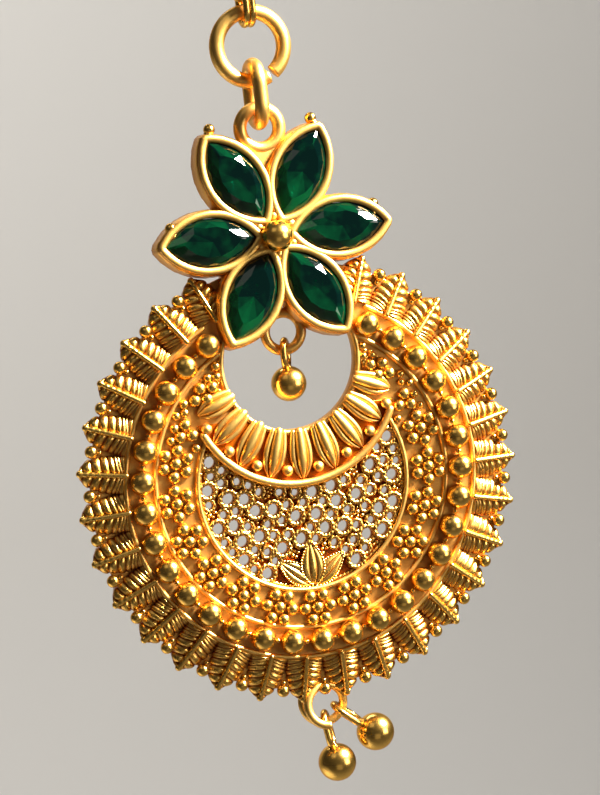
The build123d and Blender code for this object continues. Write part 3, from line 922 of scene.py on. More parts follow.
@dataclass
class LeafRing(Assembly):
    """The ring of ribbed leaves round the disc, with granules between their tips."""

    leaf_count: int = 31
    leaf_ring: float = 15.85
    leaf_height: float = -0.05
    leaf_droop: float = 15.0
    leaf_long: float = 3.85
    leaf_half: float = 1.58
    leaf_low: float = -0.58
    leaf_swell: float = 0.38
    leaf_wall: tuple[float, float] = (-0.85, -1.75)
    rib_pitch: float = 0.84
    rib_rise: tuple[float, float] = (0.11, 0.22)
    foot_ribs: float = 2.0
    foot_reach: float = 0.45
    fine_ribs: int = 18
    fine_rise: float = 0.03
    midrib_radius: float = 0.225
    midrib_beads: float = 0.50
    leaf_knob: Ball = Ball(0.33, 14, 9)
    tip_grain: Ball = Ball(0.55, 18, 12, 0.6)
    tip_ring: float = 18.6
    tip_height: float = -0.95
    tip_side: int = 13
    tip_solder: Ball = Ball(0.24, 10, 7, 0.8)
    tip_solder_height: float = -1.0

    def leaf(self) -> Skin:
        """One leaf of the outer ring, its foot at the origin and its tip along across.

        With t from 0 at its foot to 1 at its tip and s from -1 to 1 across it, its half width is
        leaf_half times (1 - t cubed) to the 0.54. Each half swells as the sine of pi times (0.10 +
        0.86 times the size of s) to the 0.8, that sine to the 0.7. Ribs run over the swell, as the
        size of the sine of pi times a phase, to the 0.55. The phase is d over rib_pitch plus
        foot_ribs times (1 - exp(-d / foot_reach)), where d is the distance along the leaf less 0.3
        of the distance from the midrib, so that narrow ribs crowd at the foot and broad ones
        follow. Fine ribs of even width run over them and fade towards the tip.

        Returns:
            The leaf with its midrib and the knob at its tip.
        """
        rows = 4 * self.fine_ribs + 1
        along, share = np.linspace(0, 1, rows)[:, None], np.linspace(-1, 1, 25)[None, :]
        run, off_middle = along * self.leaf_long, np.abs(share)
        sideways = share * (0.02 + self.leaf_half * (1 - np.clip(along, 0, 0.9995) ** 3) ** 0.54)
        lean = run - 0.30 * np.abs(sideways)
        crowded = 1 - np.exp(-np.clip(lean, 0, None) / self.foot_reach)
        rib = np.abs(np.sin(math.pi * (lean / self.rib_pitch + self.foot_ribs * crowded))) ** 0.55
        fine = np.abs(np.sin(math.pi * (self.fine_ribs * along - 0.8 * off_middle))) * (1 - along)
        swell = np.sin(math.pi * (0.10 + 0.86 * off_middle) ** 0.80) ** 0.7
        relief = (self.rib_rise[0] + self.rib_rise[1] * crowded) * rib + self.fine_rise * fine
        height = self.leaf_low + (self.leaf_swell * (1 - 0.30 * along) + relief) * swell
        sideways = sideways * (1 + (0.06 + 0.10 * along) * (rib - 0.5) * off_middle**3)
        grid = np.stack([run + 0 * share, sideways, height], axis=-1)
        wall = np.stack([grid[:, -1], grid[:, -1], grid[:, 0], grid[:, 0]], axis=1)
        wall[:, :, 2] = [*self.leaf_wall, *self.leaf_wall[::-1]]
        # painted shade in the rib valleys, towards the leaf's edges and in the fine furrows near its foot;
        # the walls' top rows darkest
        furrow_shade = 0.35 * (1 - fine - along)
        painted_shadings = np.clip(1.25 * (1 - rib) ** 1.2 + 0.9 * (1 - swell) ** 2 + furrow_shade - 0.05, 0, 1)
        wall_painted_shadings = np.tile([1.0, UNDERSIDE_PAINTED_SHADING, UNDERSIDE_PAINTED_SHADING, 1.0], (rows, 1))
        painted_shadings = np.concatenate([painted_shadings, wall_painted_shadings], axis=1)
        blade = Skin.from_grid(np.concatenate([grid, wall], axis=1), painted_shadings)
        knob = self.leaf_knob.skin().placed(shift(self.leaf_long - 0.16, 0, -0.14))
        return together([blade, self.midrib(), knob])

    def midrib(self) -> Skin:
        """The wire down a leaf's middle, sinking to 0.15 mm at the tip and beaded past its foot."""
        line = np.linspace(-0.25, self.leaf_long - 0.10, 46)
        path = np.stack([line, 0 * line, 0.09 - 0.15 * np.abs(line / self.leaf_long) ** 2.5], axis=-1)
        beading = np.clip((line - 1.3) / 1.4, 0, 1) * np.sin(2 * math.pi * line / self.midrib_beads)
        radius = self.midrib_radius + 0.02 * beading[:, None]
        return wire(path, radius, Axis.HEIGHT.vector(), sides=10, age=0.02)

    def leaves(self) -> Skin:
        """The ring of leaves, each falling away from its foot to its tip."""
        turns = [90 + number * 360 / self.leaf_count for number in range(self.leaf_count)]
        places = turned_out(turns, self.leaf_ring, self.leaf_height) @ spin(Axis.UP, self.leaf_droop)
        return self.leaf().placed(places)

    def edge_grains(self) -> Skin:
        """The granules between the leaves' tips, each with a grain of solder at its foot."""
        turns = [number * 360 / self.leaf_count - 90 for number in range(-self.tip_side, self.tip_side + 1)]
        outer = turned_out(turns, self.tip_ring, self.tip_height)
        inner = turned_out(turns, self.tip_ring - 0.72, self.tip_solder_height)
        return together([self.tip_grain.skin().placed(outer), self.tip_solder.skin().placed(inner)])

    def pieces(self) -> list[Piece]:
        """The leaves and the granules between them."""
        return [
            ("leaf_ring", self.leaves(), Gold.CAST),
            ("edge_granules", self.edge_grains(), Gold.POLISHED),
        ]


@dataclass
class Granulation(Assembly):
    """The beads in the channel, the rosettes of granules, and the granules over both horns.

    A step is an angle in degrees. The fillings of the horns are tried in rows, at filling_reach
    from the opening and a step apart, and in columns, at filling_turn from straight down and a
    step apart. They stay filling_clear of the larger granules and of each other.
    """

    disc: Disc
    # a ball's last number is the painted shade on its underside
    bead: Ball = Ball(1.08, 32, 20, 0.8)
    bead_count: int = 29
    bead_ring: float = 14.2
    bead_step: float = 10.7
    bead_spacer: Ball = Ball(0.24, 10, 7, 0.5)
    bead_spacer_height: float = -0.12
    grain: Ball = Ball(0.545, 16, 10, 0.85)
    grain_pitch: float = 1.07
    grain_height: float = -0.32
    rosette_count: int = 13
    rosette_ring: float = 11.35
    rosette_step: float = 17.3
    rosette_pitch: float = 1.15
    horn_foot: Spot = (6.0, 4.9)
    horn_rows: int = 10
    horn_columns: int = 7
    horn_room: float = 0.72
    filling: Ball = Ball(0.39, 13, 9, 0.85)
    filling_height: float = -0.36
    filling_grid: tuple[int, int] = (34, 44)
    filling_reach: tuple[float, float] = (0.70, 0.20)
    filling_turn: tuple[float, float] = (52.0, 1.9)
    filling_clear: tuple[float, float] = (0.86, 0.72)
    filling_sizes: tuple[float, ...] = (1.0, 0.84, 1.12, 0.92)
    dust: Ball = Ball(0.17, 8, 5, 0.7)
    dust_height: float = -0.48
    dust_count: int = 240

    def beads(self) -> Skin:
        """The large beads, with a small granule between each two."""
        turns = [turn - 90 for turn in spread(self.bead_count, self.bead_step)]
        between = [turn - 90 for turn in spread(self.bead_count - 1, self.bead_step)]
        large = self.bead.skin().placed(turned_out(turns, self.bead_ring, 0.0))
        spacers = turned_out(between, self.bead_ring, self.bead_spacer_height)
        return together([large, self.bead_spacer.skin().placed(spacers)])

    def rosette_spots(self) -> list[Spot]:
        """Centres of the seven granules of each rosette."""
        spots = []
        for angle in spread(self.rosette_count, self.rosette_step):
            centre = from_bottom(self.rosette_ring, angle)
            around = swept(self.rosette_pitch, np.radians(angle + 60 * np.arange(6)))[:, :2] + centre
            spots += [centre, *map(tuple, around.tolist())]
        return spots

    def horn_spots(self, taken: Sequence[Spot]) -> list[Spot]:
        """Centres of the granules over both horns, clear of what is already there.

        Args:
            taken: centres of the rosettes' granules.

        Returns:
            The centres, in mirrored pairs.
        """
        spots: list[Spot] = []
        for row in range(self.horn_rows):
            up = self.horn_foot[1] + 0.9 * row * self.grain_pitch
            for column in range(self.horn_columns):
                across = self.horn_foot[0] + 1.02 * (column + 0.5 * (row % 2)) * self.grain_pitch
                from_opening = math.hypot(across, up - self.disc.opening_up)
                angle = math.degrees(math.atan2(across, self.disc.opening_up - up))
                clear = nearest(across, up, taken) > 0.97 * self.grain_pitch
                in_disc = math.hypot(across, up) < self.disc.channel_rings[0] - 0.75
                off_rim = math.hypot(across, up - self.disc.rim_up) > self.disc.rim_radius + 0.2 or up > 6.4
                off_petals = angle > 72.5 or from_opening > 9.95
                off_opening = from_opening > self.disc.opening_radius + self.horn_room
                if clear and in_disc and off_rim and off_petals and off_opening:
                    spots += [(across, up), (-across, up)]
        return spots

    def filling_spots(self, taken: Sequence[Spot]) -> list[Spot]:
        """Centres of the smaller granules that fill what is left of the horns.

        Args:
            taken: centres of the larger granules.

        Returns:
            The centres.
        """
        spots: list[Spot] = []
        (first_reach, row_step), (first_turn, column_step) = self.filling_reach, self.filling_turn
        off_grains, off_fillings = self.filling_clear
        for row, column in np.ndindex(self.filling_grid):
            reach = self.disc.opening_radius + first_reach + row_step * row
            turn = first_turn + column_step * column + 0.9 * math.sin(1.7 * row)
            for side in (-1, 1):
                across, up = from_bottom(reach, side * turn, self.disc.opening_up)
                clear = nearest(across, up, taken) > off_grains and nearest(across, up, spots) > off_fillings
                in_disc = math.hypot(across, up) < self.disc.channel_rings[0] - 0.50
                off_rim = math.hypot(across, up - self.disc.rim_up) > self.disc.rim_radius + 0.60
                off_circle = math.hypot(across, up - self.disc.filigree_up) > self.disc.filigree_radius + 0.60
                on_horn = (off_rim and off_circle) or (turn > 76 and up > self.disc.band_top + 1.4)
                if clear and in_disc and on_horn and up > -3.0:
                    spots.append((across, up))
        return spots

    def solder_dust(self) -> Skin:
        """Solder grains strewn over the horns, thickest beside the opening."""
        chance = np.random.default_rng(7)
        turn = chance.uniform(72, 128, self.dust_count) * chance.choice([-1, 1], self.dust_count)
        reach = self.disc.opening_radius + 0.35 + 2.2 * chance.random(self.dust_count) ** 1.6
        across, up = reach * np.sin(np.radians(turn)), self.disc.opening_up - reach * np.cos(np.radians(turn))
        kept = np.hypot(across, up) < 12.4
        spots = np.column_stack([across, up])[kept]
        sizes = chance.uniform(0.6, 1.5, len(spots))
        return self.dust.skin().placed(at_spots(spots, self.dust_height, sizes))

    def grains(self) -> Skin:
        """Every granule of the rosettes and the horns, and the solder dust about them."""
        spots = self.rosette_spots()
        spots += self.horn_spots(spots)
        fillings = self.filling_spots(spots)
        sizes = np.resize(self.filling_sizes, len(fillings))
        large = self.grain.skin().placed(at_spots(spots, self.grain_height))
        small = self.filling.skin().placed(at_spots(fillings, self.filling_height, sizes))
        return together([large, small, self.solder_dust()])

    def pieces(self) -> list[Piece]:
        """The large beads and the granules."""
        return [
            ("large_beads", self.beads(), Gold.POLISHED),
            ("granules", self.grains(), Gold.CAST),
        ]


@dataclass
class FlutedBand(Assembly):
    """The band of fluted petals between the opening and the rim.

    A petal rib is its place and its girth, in the petal's unit of width.
    """

    disc: Disc
    band_floor: float = -0.32
    petal_count: int = 9
    petal_step: float = 17.0
    petal_foot: float = 6.05
    petal_ribs: tuple[Spot, ...] = ((-1.38, 0.60), (0.0, 1.02), (1.38, 0.60))
    bud: Ball = Ball(0.48, 18, 12, 0.7)
    bud_reach: float = 9.35
    bud_height: float = -0.05

    def petal(self, angle: float) -> Skin:
        """One petal of the fluted band: a broad spindle rib between two narrow ones.

        They reach from the opening to the rim. The petal's unit of width is the distance from the
        opening's centre times a quarter of petal_step times (1 - 0.14 (1 - t) squared - 0.62 t to
        the fourth), where t is the share of the length. A rib's place and girth are in that unit,
        and both its height and its girth follow the sine of pi times (0.30 + 0.69 t), to the 0.45.

        Args:
            angle: where it stands, in degrees from straight down.

        Returns:
            The skin.
        """
        drop = self.disc.opening_up - self.disc.rim_up
        sideways = drop * math.sin(math.radians(angle))
        rim = drop * math.cos(math.radians(angle)) + math.sqrt(self.disc.rim_radius**2 - sideways**2)
        share = np.linspace(0, 1, 28)
        reach = self.petal_foot + (rim - 0.45 - self.petal_foot) * share
        full = np.sin(math.pi * (0.30 + 0.69 * share)) ** 0.45
        narrowing = 1 - 0.14 * (1 - share) ** 2 - 0.62 * share**4
        width = reach * math.radians(self.petal_step / 4) * narrowing
        sag = np.linspace(0, 2 * math.pi, 12, endpoint=False)
        # painted shade on each rib's underside and flanks, none on its top
        painted_shadings = np.clip(0.45 - 0.9 * np.sin(sag), 0, 1)[None, :]
        skins = []
        for place, girth in self.petal_ribs:
            height = -0.28 + (0.27 - 0.07 * place**2) * full
            path = np.stack([reach, place * width * (0.35 + 0.65 * full), height], axis=-1)
            radius = (girth * width * (0.30 + 0.70 * full) * (1 - 0.25 * share))[:, None]
            skins.append(wire(path, radius, Axis.HEIGHT.vector(), sides=12, age=painted_shadings))
        return together(skins).placed(shift(0, self.disc.opening_up) @ spin(Axis.HEIGHT, angle - 90))

    def band(self) -> Skin:
        """The fluted band: its floor, its petals, and a bud between each two."""
        disc = self.disc
        reach = math.degrees(math.acos((disc.rim_up - disc.band_top) / disc.rim_radius))
        inner_reach = math.degrees(math.acos((disc.opening_up - disc.band_top) / disc.opening_radius))
        outer = arc(disc.rim_radius, -reach, reach, 90, disc.rim_up)
        inner = arc(disc.opening_radius, inner_reach, -inner_reach, 60, disc.opening_up)
        outline, low = np.vstack([outer, inner]), disc.plate_face - 0.3
        # the band's floor between the petals in full painted shade
        floor = sheet([outline], low, self.band_floor, bevel=0.05, age=1.0)
        petals = [self.petal(turn) for turn in spread(self.petal_count, self.petal_step)]
        turns = [turn - 90 for turn in spread(self.petal_count - 1, self.petal_step)]
        buds = self.bud.skin().placed(turned_out(turns, self.bud_reach, self.bud_height, disc.opening_up))
        return together([floor, *petals, buds])

    def pieces(self) -> list[Piece]:
        """The band."""
        return [("fluted_band", self.band(), Gold.SATIN)]


@dataclass
class PiercedWork(Assembly):
    """The pierced work: a sheet with holes, twisted wire rings round them, and the lotus.

    A hole is its centre's across and up and its radius. The hole_room is what is left between it
    and the filigree circle, and the rim. The filling_rooms are the least and the most outer radius
    of a small ring and of a lump of solder between the holes.
    """

    disc: Disc
    hole_top: float = 5.6
    hole_rows: int = 13
    hole_half_columns: int = 8
    hole_pitch: float = 1.50
    hole_sway: float = 0.25
    hole_radii: tuple[float, float] = (0.51, 0.34)
    hole_wall: float = 0.40
    hole_room: tuple[float, float] = (0.40, 0.45)
    ease_rounds: int = 60
    face: float = -0.75
    back: float = -1.30
    twines: tuple[float, float] = (0.235, 0.165)
    lump_pitch: float = 0.42
    edging: float = 0.15
    edging_reach: tuple[float, float] = (106.0, 58.0)
    small_ring: tuple[float, float] = (0.42, 0.16)
    solder: Ball = Ball(0.58, 10, 7, 0.6)
    filling_height: float = -0.70
    filling_grid: tuple[int, int] = (70, 97)
    filling_step: tuple[float, float] = (0.20, 0.18)
    filling_rooms: tuple[tuple[float, float], ...] = ((0.42, 0.60), (0.12, 0.24))
    lotus_up: float = -9.45
    lotus_long: float = 3.9
    lotus_half: float = 1.04
    lotus_splay: float = 50.0
    lotus_room: float = 2.6
    lotus_low: float = -0.72

    def from_lotus(self, across: float, up: float) -> float:
        """Distance from the lotus's foot, measured shorter where its petals reach."""
        return math.hypot(across / 1.3, (up - self.lotus_up) / 1.25)

    def edge_rooms(self, across: float, up: float) -> tuple[float, float]:
        """A point's distances from the plain wires round the pierced work.

        Args:
            across: how far across it is.
            up: how far up it is.

        Returns:
            How far it is inside the filigree circle, and how far outside the rim circle.
        """
        disc = self.disc
        inside = disc.filigree_radius - math.hypot(across, up - disc.filigree_up)
        return inside, math.hypot(across, up - disc.rim_up) - disc.rim_radius

    def in_window(self, across: float, up: float, room: float) -> bool:
        """Whether a circle fits between the plain wires and clear of the lotus."""
        off_lotus = self.from_lotus(across, up) - self.lotus_room
        return min(*self.edge_rooms(across, up), off_lotus) > room

    @staticmethod
    def pushed(hole: Hole, centre_up: float, lack: float) -> Hole:
        """A hole moved away from a point on the disc's middle line.

        Args:
            hole: the hole.
            centre_up: how far up the point is.
            lack: twice the way to go; below 0, the hole moves towards the point.

        Returns:
            The hole in its new place.
        """
        across, up, radius = hole
        apart = math.hypot(across, up - centre_up)
        return across + lack / 2 * across / apart, up + lack / 2 * (up - centre_up) / apart, radius

    def eased_in(self, hole: Hole) -> Hole:
        """A hole moved inwards from each edge of the window that it lies too near.

        Args:
            hole: the hole.

        Returns:
            The hole in its new place.
        """
        radius = hole[2]
        lack = radius + self.hole_room[0] - self.edge_rooms(*hole[:2])[0]
        hole = self.pushed(hole, self.disc.filigree_up, min(0, -lack))
        lack = radius + self.hole_room[1] - self.edge_rooms(*hole[:2])[1]
        hole = self.pushed(hole, self.disc.rim_up, max(0, lack))
        lack = self.lotus_room + radius + 0.25 - self.from_lotus(*hole[:2])
        return self.pushed(hole, self.lotus_up, max(0, lack))

    def eased_apart(self, hole: Hole, other: Hole) -> tuple[Hole, Hole]:
        """Two holes moved apart, each by 0.3 of what the wall between them lacks.

        Args:
            hole: one hole.
            other: another.

        Returns:
            Both in their new places.
        """
        across, up = hole[0] - other[0], hole[1] - other[1]
        apart = math.hypot(across, up)
        step = 0.3 * max(0, hole[2] + other[2] + self.hole_wall - apart) / apart
        first = (hole[0] + step * across, hole[1] + step * up, hole[2])
        return first, (other[0] - step * across, other[1] - step * up, other[2])

    def holes(self) -> list[Hole]:
        """The holes, set out in rows and then eased apart.

        In its row each is strayed by a sine and a cosine of its row and column, and two in five
        are large.

        Returns:
            The holes, the large ones first.
        """
        pitch, holes = self.hole_pitch, []
        for row in range(self.hole_rows):
            for column in range(-self.hole_half_columns, self.hole_half_columns + 1):
                radius = self.hole_radii[0] if (2 * column + row) % 5 in (0, 2) else self.hole_radii[1]
                stray = self.hole_sway * math.sin(2.3 * column + 1.1 * row)
                lift = self.hole_sway * math.cos(1.7 * column + 2.1 * row)
                across = (column + 0.5 * (row % 2)) * pitch + stray
                up = self.hole_top - 0.87 * row * pitch + lift
                if self.in_window(across, up, 0.05):
                    holes.append((across, up, radius))
        for _ in range(self.ease_rounds):
            for number in range(len(holes)):
                for other in range(number):
                    holes[number], holes[other] = self.eased_apart(holes[number], holes[other])
                holes[number] = self.eased_in(holes[number])
        kept: list[Hole] = []
        for across, up, radius in sorted(holes, key=lambda hole: -hole[2]):
            walls = [math.hypot(across - x, up - y) - size - radius for x, y, size in kept]
            clear = min(walls, default=self.hole_wall) > 0.6 * self.hole_wall
            if clear and self.in_window(across, up, radius + 0.2):
                kept.append((across, up, radius))
        return kept

    def cut(self) -> Skin:
        """The sheet with its holes, each a little out of round."""
        turn = np.linspace(0, 2 * math.pi, 22, endpoint=False)
        outlines = [self.disc.window(-0.2)]
        for number, (across, up, radius) in enumerate(self.holes()):
            reach = radius * (1 + 0.05 * np.sin(2 * turn + 1.7 * number))
            outlines.append(swept(reach, turn) + [across, up, 0])
        # the sheet behind the filigree in full painted shade
        return sheet(outlines, self.back, self.face, bevel=0.04, age=1.0)

    def twisted(self, path: Array, closed: bool, thick: float) -> Skin:
        """Two wires twisted together along a path.

        Their section is a figure of eight that turns along the path: at a turn a round the wire
        and a distance d along it, its radius is thick times (0.52 + 0.58 times the size of the
        cosine of (a less pi times d over the lumps' pitch), to the 1.3).

        Args:
            path: the middle of the wires, one point a row.
            closed: whether they join themselves.
            thick: half the width over both wires.

        Returns:
            The skin.
        """
        steps = np.linalg.norm(np.diff(path, axis=0, append=path[:1]), axis=1)
        travelled = np.concatenate([[0], np.cumsum(steps)[:-1]])
        whole = float(steps.sum() if closed else travelled[-1])
        lumps = max(1, round(whole / self.lump_pitch))
        around = np.linspace(0, 2 * math.pi, 8, endpoint=False)[None, :]
        lump = np.abs(np.cos(around - math.pi * lumps * (travelled / whole)[:, None])) ** 1.3
        # painted shade in the grooves between the lumps, none on the lumps
        radius, painted_shadings = thick * (0.52 + 0.58 * lump), np.clip(0.9 - 1.3 * lump, 0, 1)
        return wire(path, radius, Axis.HEIGHT.vector(), closed=closed, sides=8, age=painted_shadings)

    def ring(self, radius: float, thick: float) -> Skin:
        """A ring of twisted wire about the origin.

        Args:
            radius: the radius of its middle line.
            thick: half the width over both wires.

        Returns:
            The skin.
        """
        count = 6 * round(2 * math.pi * radius / self.lump_pitch)
        turn = np.linspace(0, 2 * math.pi, count, endpoint=False)
        return self.twisted(swept(radius, turn), True, thick)

    def hole_rings(self, holes: Sequence[Hole], size: float, thick: float) -> Skin:
        """The twisted rings round the holes of one size, each turned, tilted and bent a little.

        Args:
            holes: all the holes.
            size: the radius of the holes that get a ring.
            thick: half the width of the ring's wire.

        Returns:
            The skin.
        """
        places = [
            shift(across, up, self.face + 0.05 + 0.5 * thick + 0.05 * math.sin(2.7 * number))
            @ spin(Axis.HEIGHT, 47.0 * number)
            @ spin(Axis.ACROSS, 5.0 * math.sin(1.3 * number))
            @ np.diag([1 + 0.05 * math.sin(1.9 * number), 1 - 0.04 * math.sin(1.9 * number), 1, 1])
            for number, (across, up, radius) in enumerate(holes)
            if radius == size
        ]
        return self.ring(size + 0.85 * thick, thick).placed(np.array(places))

    def edgings(self) -> list[Skin]:
        """The twisted wires inside the filigree circle and under the rim."""
        disc, (low_reach, top_reach) = self.disc, self.edging_reach
        low = arc(disc.filigree_radius - 0.30, -low_reach, low_reach, 620, disc.filigree_up)
        top = arc(disc.rim_radius + 0.42, -top_reach, top_reach, 380, disc.rim_up)
        return [self.twisted(path + [0, 0, self.face + 0.02], False, self.edging) for path in (low, top)]

    def filigree(self) -> Skin:
        """The twisted rings round the holes, the edging, and what fills the gaps between them."""
        holes = self.holes()
        skins = [self.hole_rings(holes, size, thick) for size, thick in zip(self.hole_radii, self.twines)]
        skins += self.edgings()
        shapes = (self.ring(*self.small_ring), self.solder.skin())
        for shape, chosen in zip(shapes, self.fillings(holes)):
            sizes = [room / self.solder.radius for *_, room in chosen]
            places = at_spots([(across, up) for across, up, _ in chosen], self.filling_height, sizes)
            skins.append(shape.placed(places))
        return together(skins)

    def fillings(self, holes: Sequence[Hole]) -> list[list[Hole]]:
        """Small rings, and then lumps of solder, for what the rings leave bare, tried in rows.

        Args:
            holes: the holes.

        Returns:
            The rings and the lumps, each one as its across, up and outer radius.
        """
        twines = dict(zip(self.hole_radii, self.twines))
        taken = [(across, up, radius + 1.8 * twines[radius]) for across, up, radius in holes]
        fillings: list[list[Hole]] = []
        for least, most in self.filling_rooms:
            fillings.append([])
            for row, column in np.ndindex(self.filling_grid):
                across = self.filling_step[0] * (column - self.filling_grid[1] // 2 + 0.5 * (row % 2))
                up = self.hole_top - self.filling_step[1] * row
                room = min(*self.edge_rooms(across, up), self.off_petals(across, up), most)
                if room > least:
                    room = min(room, *(math.hypot(across - x, up - y) - size for x, y, size in taken))
                if room > least:
                    fillings[-1].append((across, up, room))
                    taken.append((across, up, room))
        return fillings

    def off_petals(self, across: float, up: float) -> float:
        """How far a point is from the lotus's three petals, each taken as a line with round ends.

        Args:
            across: how far across it is.
            up: how far up it is.

        Returns:
            The distance.
        """
        rooms = []
        for turn in (-self.lotus_splay, 0.0, self.lotus_splay):
            tip = (-math.sin(math.radians(turn)), math.cos(math.radians(turn)))
            along = across * tip[0] + (up - self.lotus_up) * tip[1]
            middle = min(max(along, 0.9), self.lotus_long - 0.9)
            rooms.append(math.hypot(across - middle * tip[0], up - self.lotus_up - middle * tip[1]))
        return min(rooms) - 0.9 * self.lotus_half

    def lotus_petal(self) -> Skin:
        """One petal of the lotus, its foot at the origin and its tip up.

        Its half width is the sine of pi times (its share of the length to the 0.8), that sine to
        the 0.85. Two ribs run up it between deep valleys: their height is the size of the cosine of
        one and a half pi times the share of the half width, to the 0.7.

        Returns:
            The petal with a beaded rim.
        """
        share = np.linspace(0.0, 1.0, 40)[:, None]
        side = np.linspace(-1, 1, 25)[None, :]
        full = np.sin(math.pi * np.clip(share, 0.006, 0.994) ** 0.80) ** 0.85
        ribs = np.abs(np.cos(1.5 * math.pi * side)) ** 0.7
        height = self.lotus_low + 0.30 * full * (1 - 0.5 * side**2) + 0.16 * ribs * full
        grid = np.stack([side * self.lotus_half * full, share * self.lotus_long + 0 * side, height], axis=-1)
        wall = np.stack([grid[:, -1], grid[:, 0]], axis=1)
        wall[:, :, 2] = -1.0
        # painted shade in the valleys between the ribs, and on the walls
        painted_shadings = np.clip(1.1 - 1.3 * ribs + 0 * share, 0, 1)
        painted_shadings = np.concatenate([painted_shadings, np.full((len(share), 2), 0.9)], axis=1)
        skins = [Skin.from_grid(np.concatenate([grid, wall], axis=1), painted_shadings)]
        run = np.linspace(0.02, 0.98, 100)
        bow = np.sin(math.pi * run**0.80) ** 0.85
        beaded = 0.085 + 0.028 * np.sin(2 * math.pi * run * 16)[:, None]
        for half in (-self.lotus_half, self.lotus_half):
            path = np.stack([half * bow, run * self.lotus_long, -0.58 + 0.10 * bow], axis=-1)
            skins.append(wire(path, beaded, Axis.HEIGHT.vector(), sides=8))
        return together(skins)

    def lotus(self) -> Skin:
        """The three petals at the foot of the pierced work, the middle one over the other two."""
        foot, narrow = shift(0, self.lotus_up), np.diag([0.85, 1, 1, 1])
        sides = [foot @ spin(Axis.HEIGHT, turn) @ narrow for turn in (-self.lotus_splay, self.lotus_splay)]
        return self.lotus_petal().placed(np.array([foot @ shift(height=0.12), *sides]))

    def pieces(self) -> list[Piece]:
        """The pierced work's pieces."""
        return [
            ("pierced_sheet", self.cut(), Gold.CAST),
            ("filigree_wires", self.filigree(), Gold.CAST),
            ("lotus", self.lotus(), Gold.CAST),
        ]


# ---- the flower ---------------------------------------------------------------------------------
BEZEL_PROFILE = (  # distance from the stone, height and painted shade, from the seat out and down to the back
    (0.015, -1.45, 1.0),
    (0.015, -0.36, 1.0),
    (-0.03, -0.22, 0.9),
    (-0.02, -0.13, 0.6),
    (0.05, -0.03, 0.12),
    (0.16, 0.04, 0.02),
    (0.30, 0.07, 0.0),
    (0.44, 0.055, 0.0),
    (0.55, 0.0, 0.05),
    (0.62, -0.10, 0.3),
    (0.61, -0.20, 1.0),
    (0.64, -0.27, 0.6),
    (0.70, -0.36, 0.1),
    (0.73, -0.50, 0.1),
    (0.74, -1.10, 0.3),
    (0.78, -1.75, 0.5),
    (0.80, -2.00, 0.7),
    (0.74, -2.10, 0.8),
    (0.30, -2.10, 0.8),
)


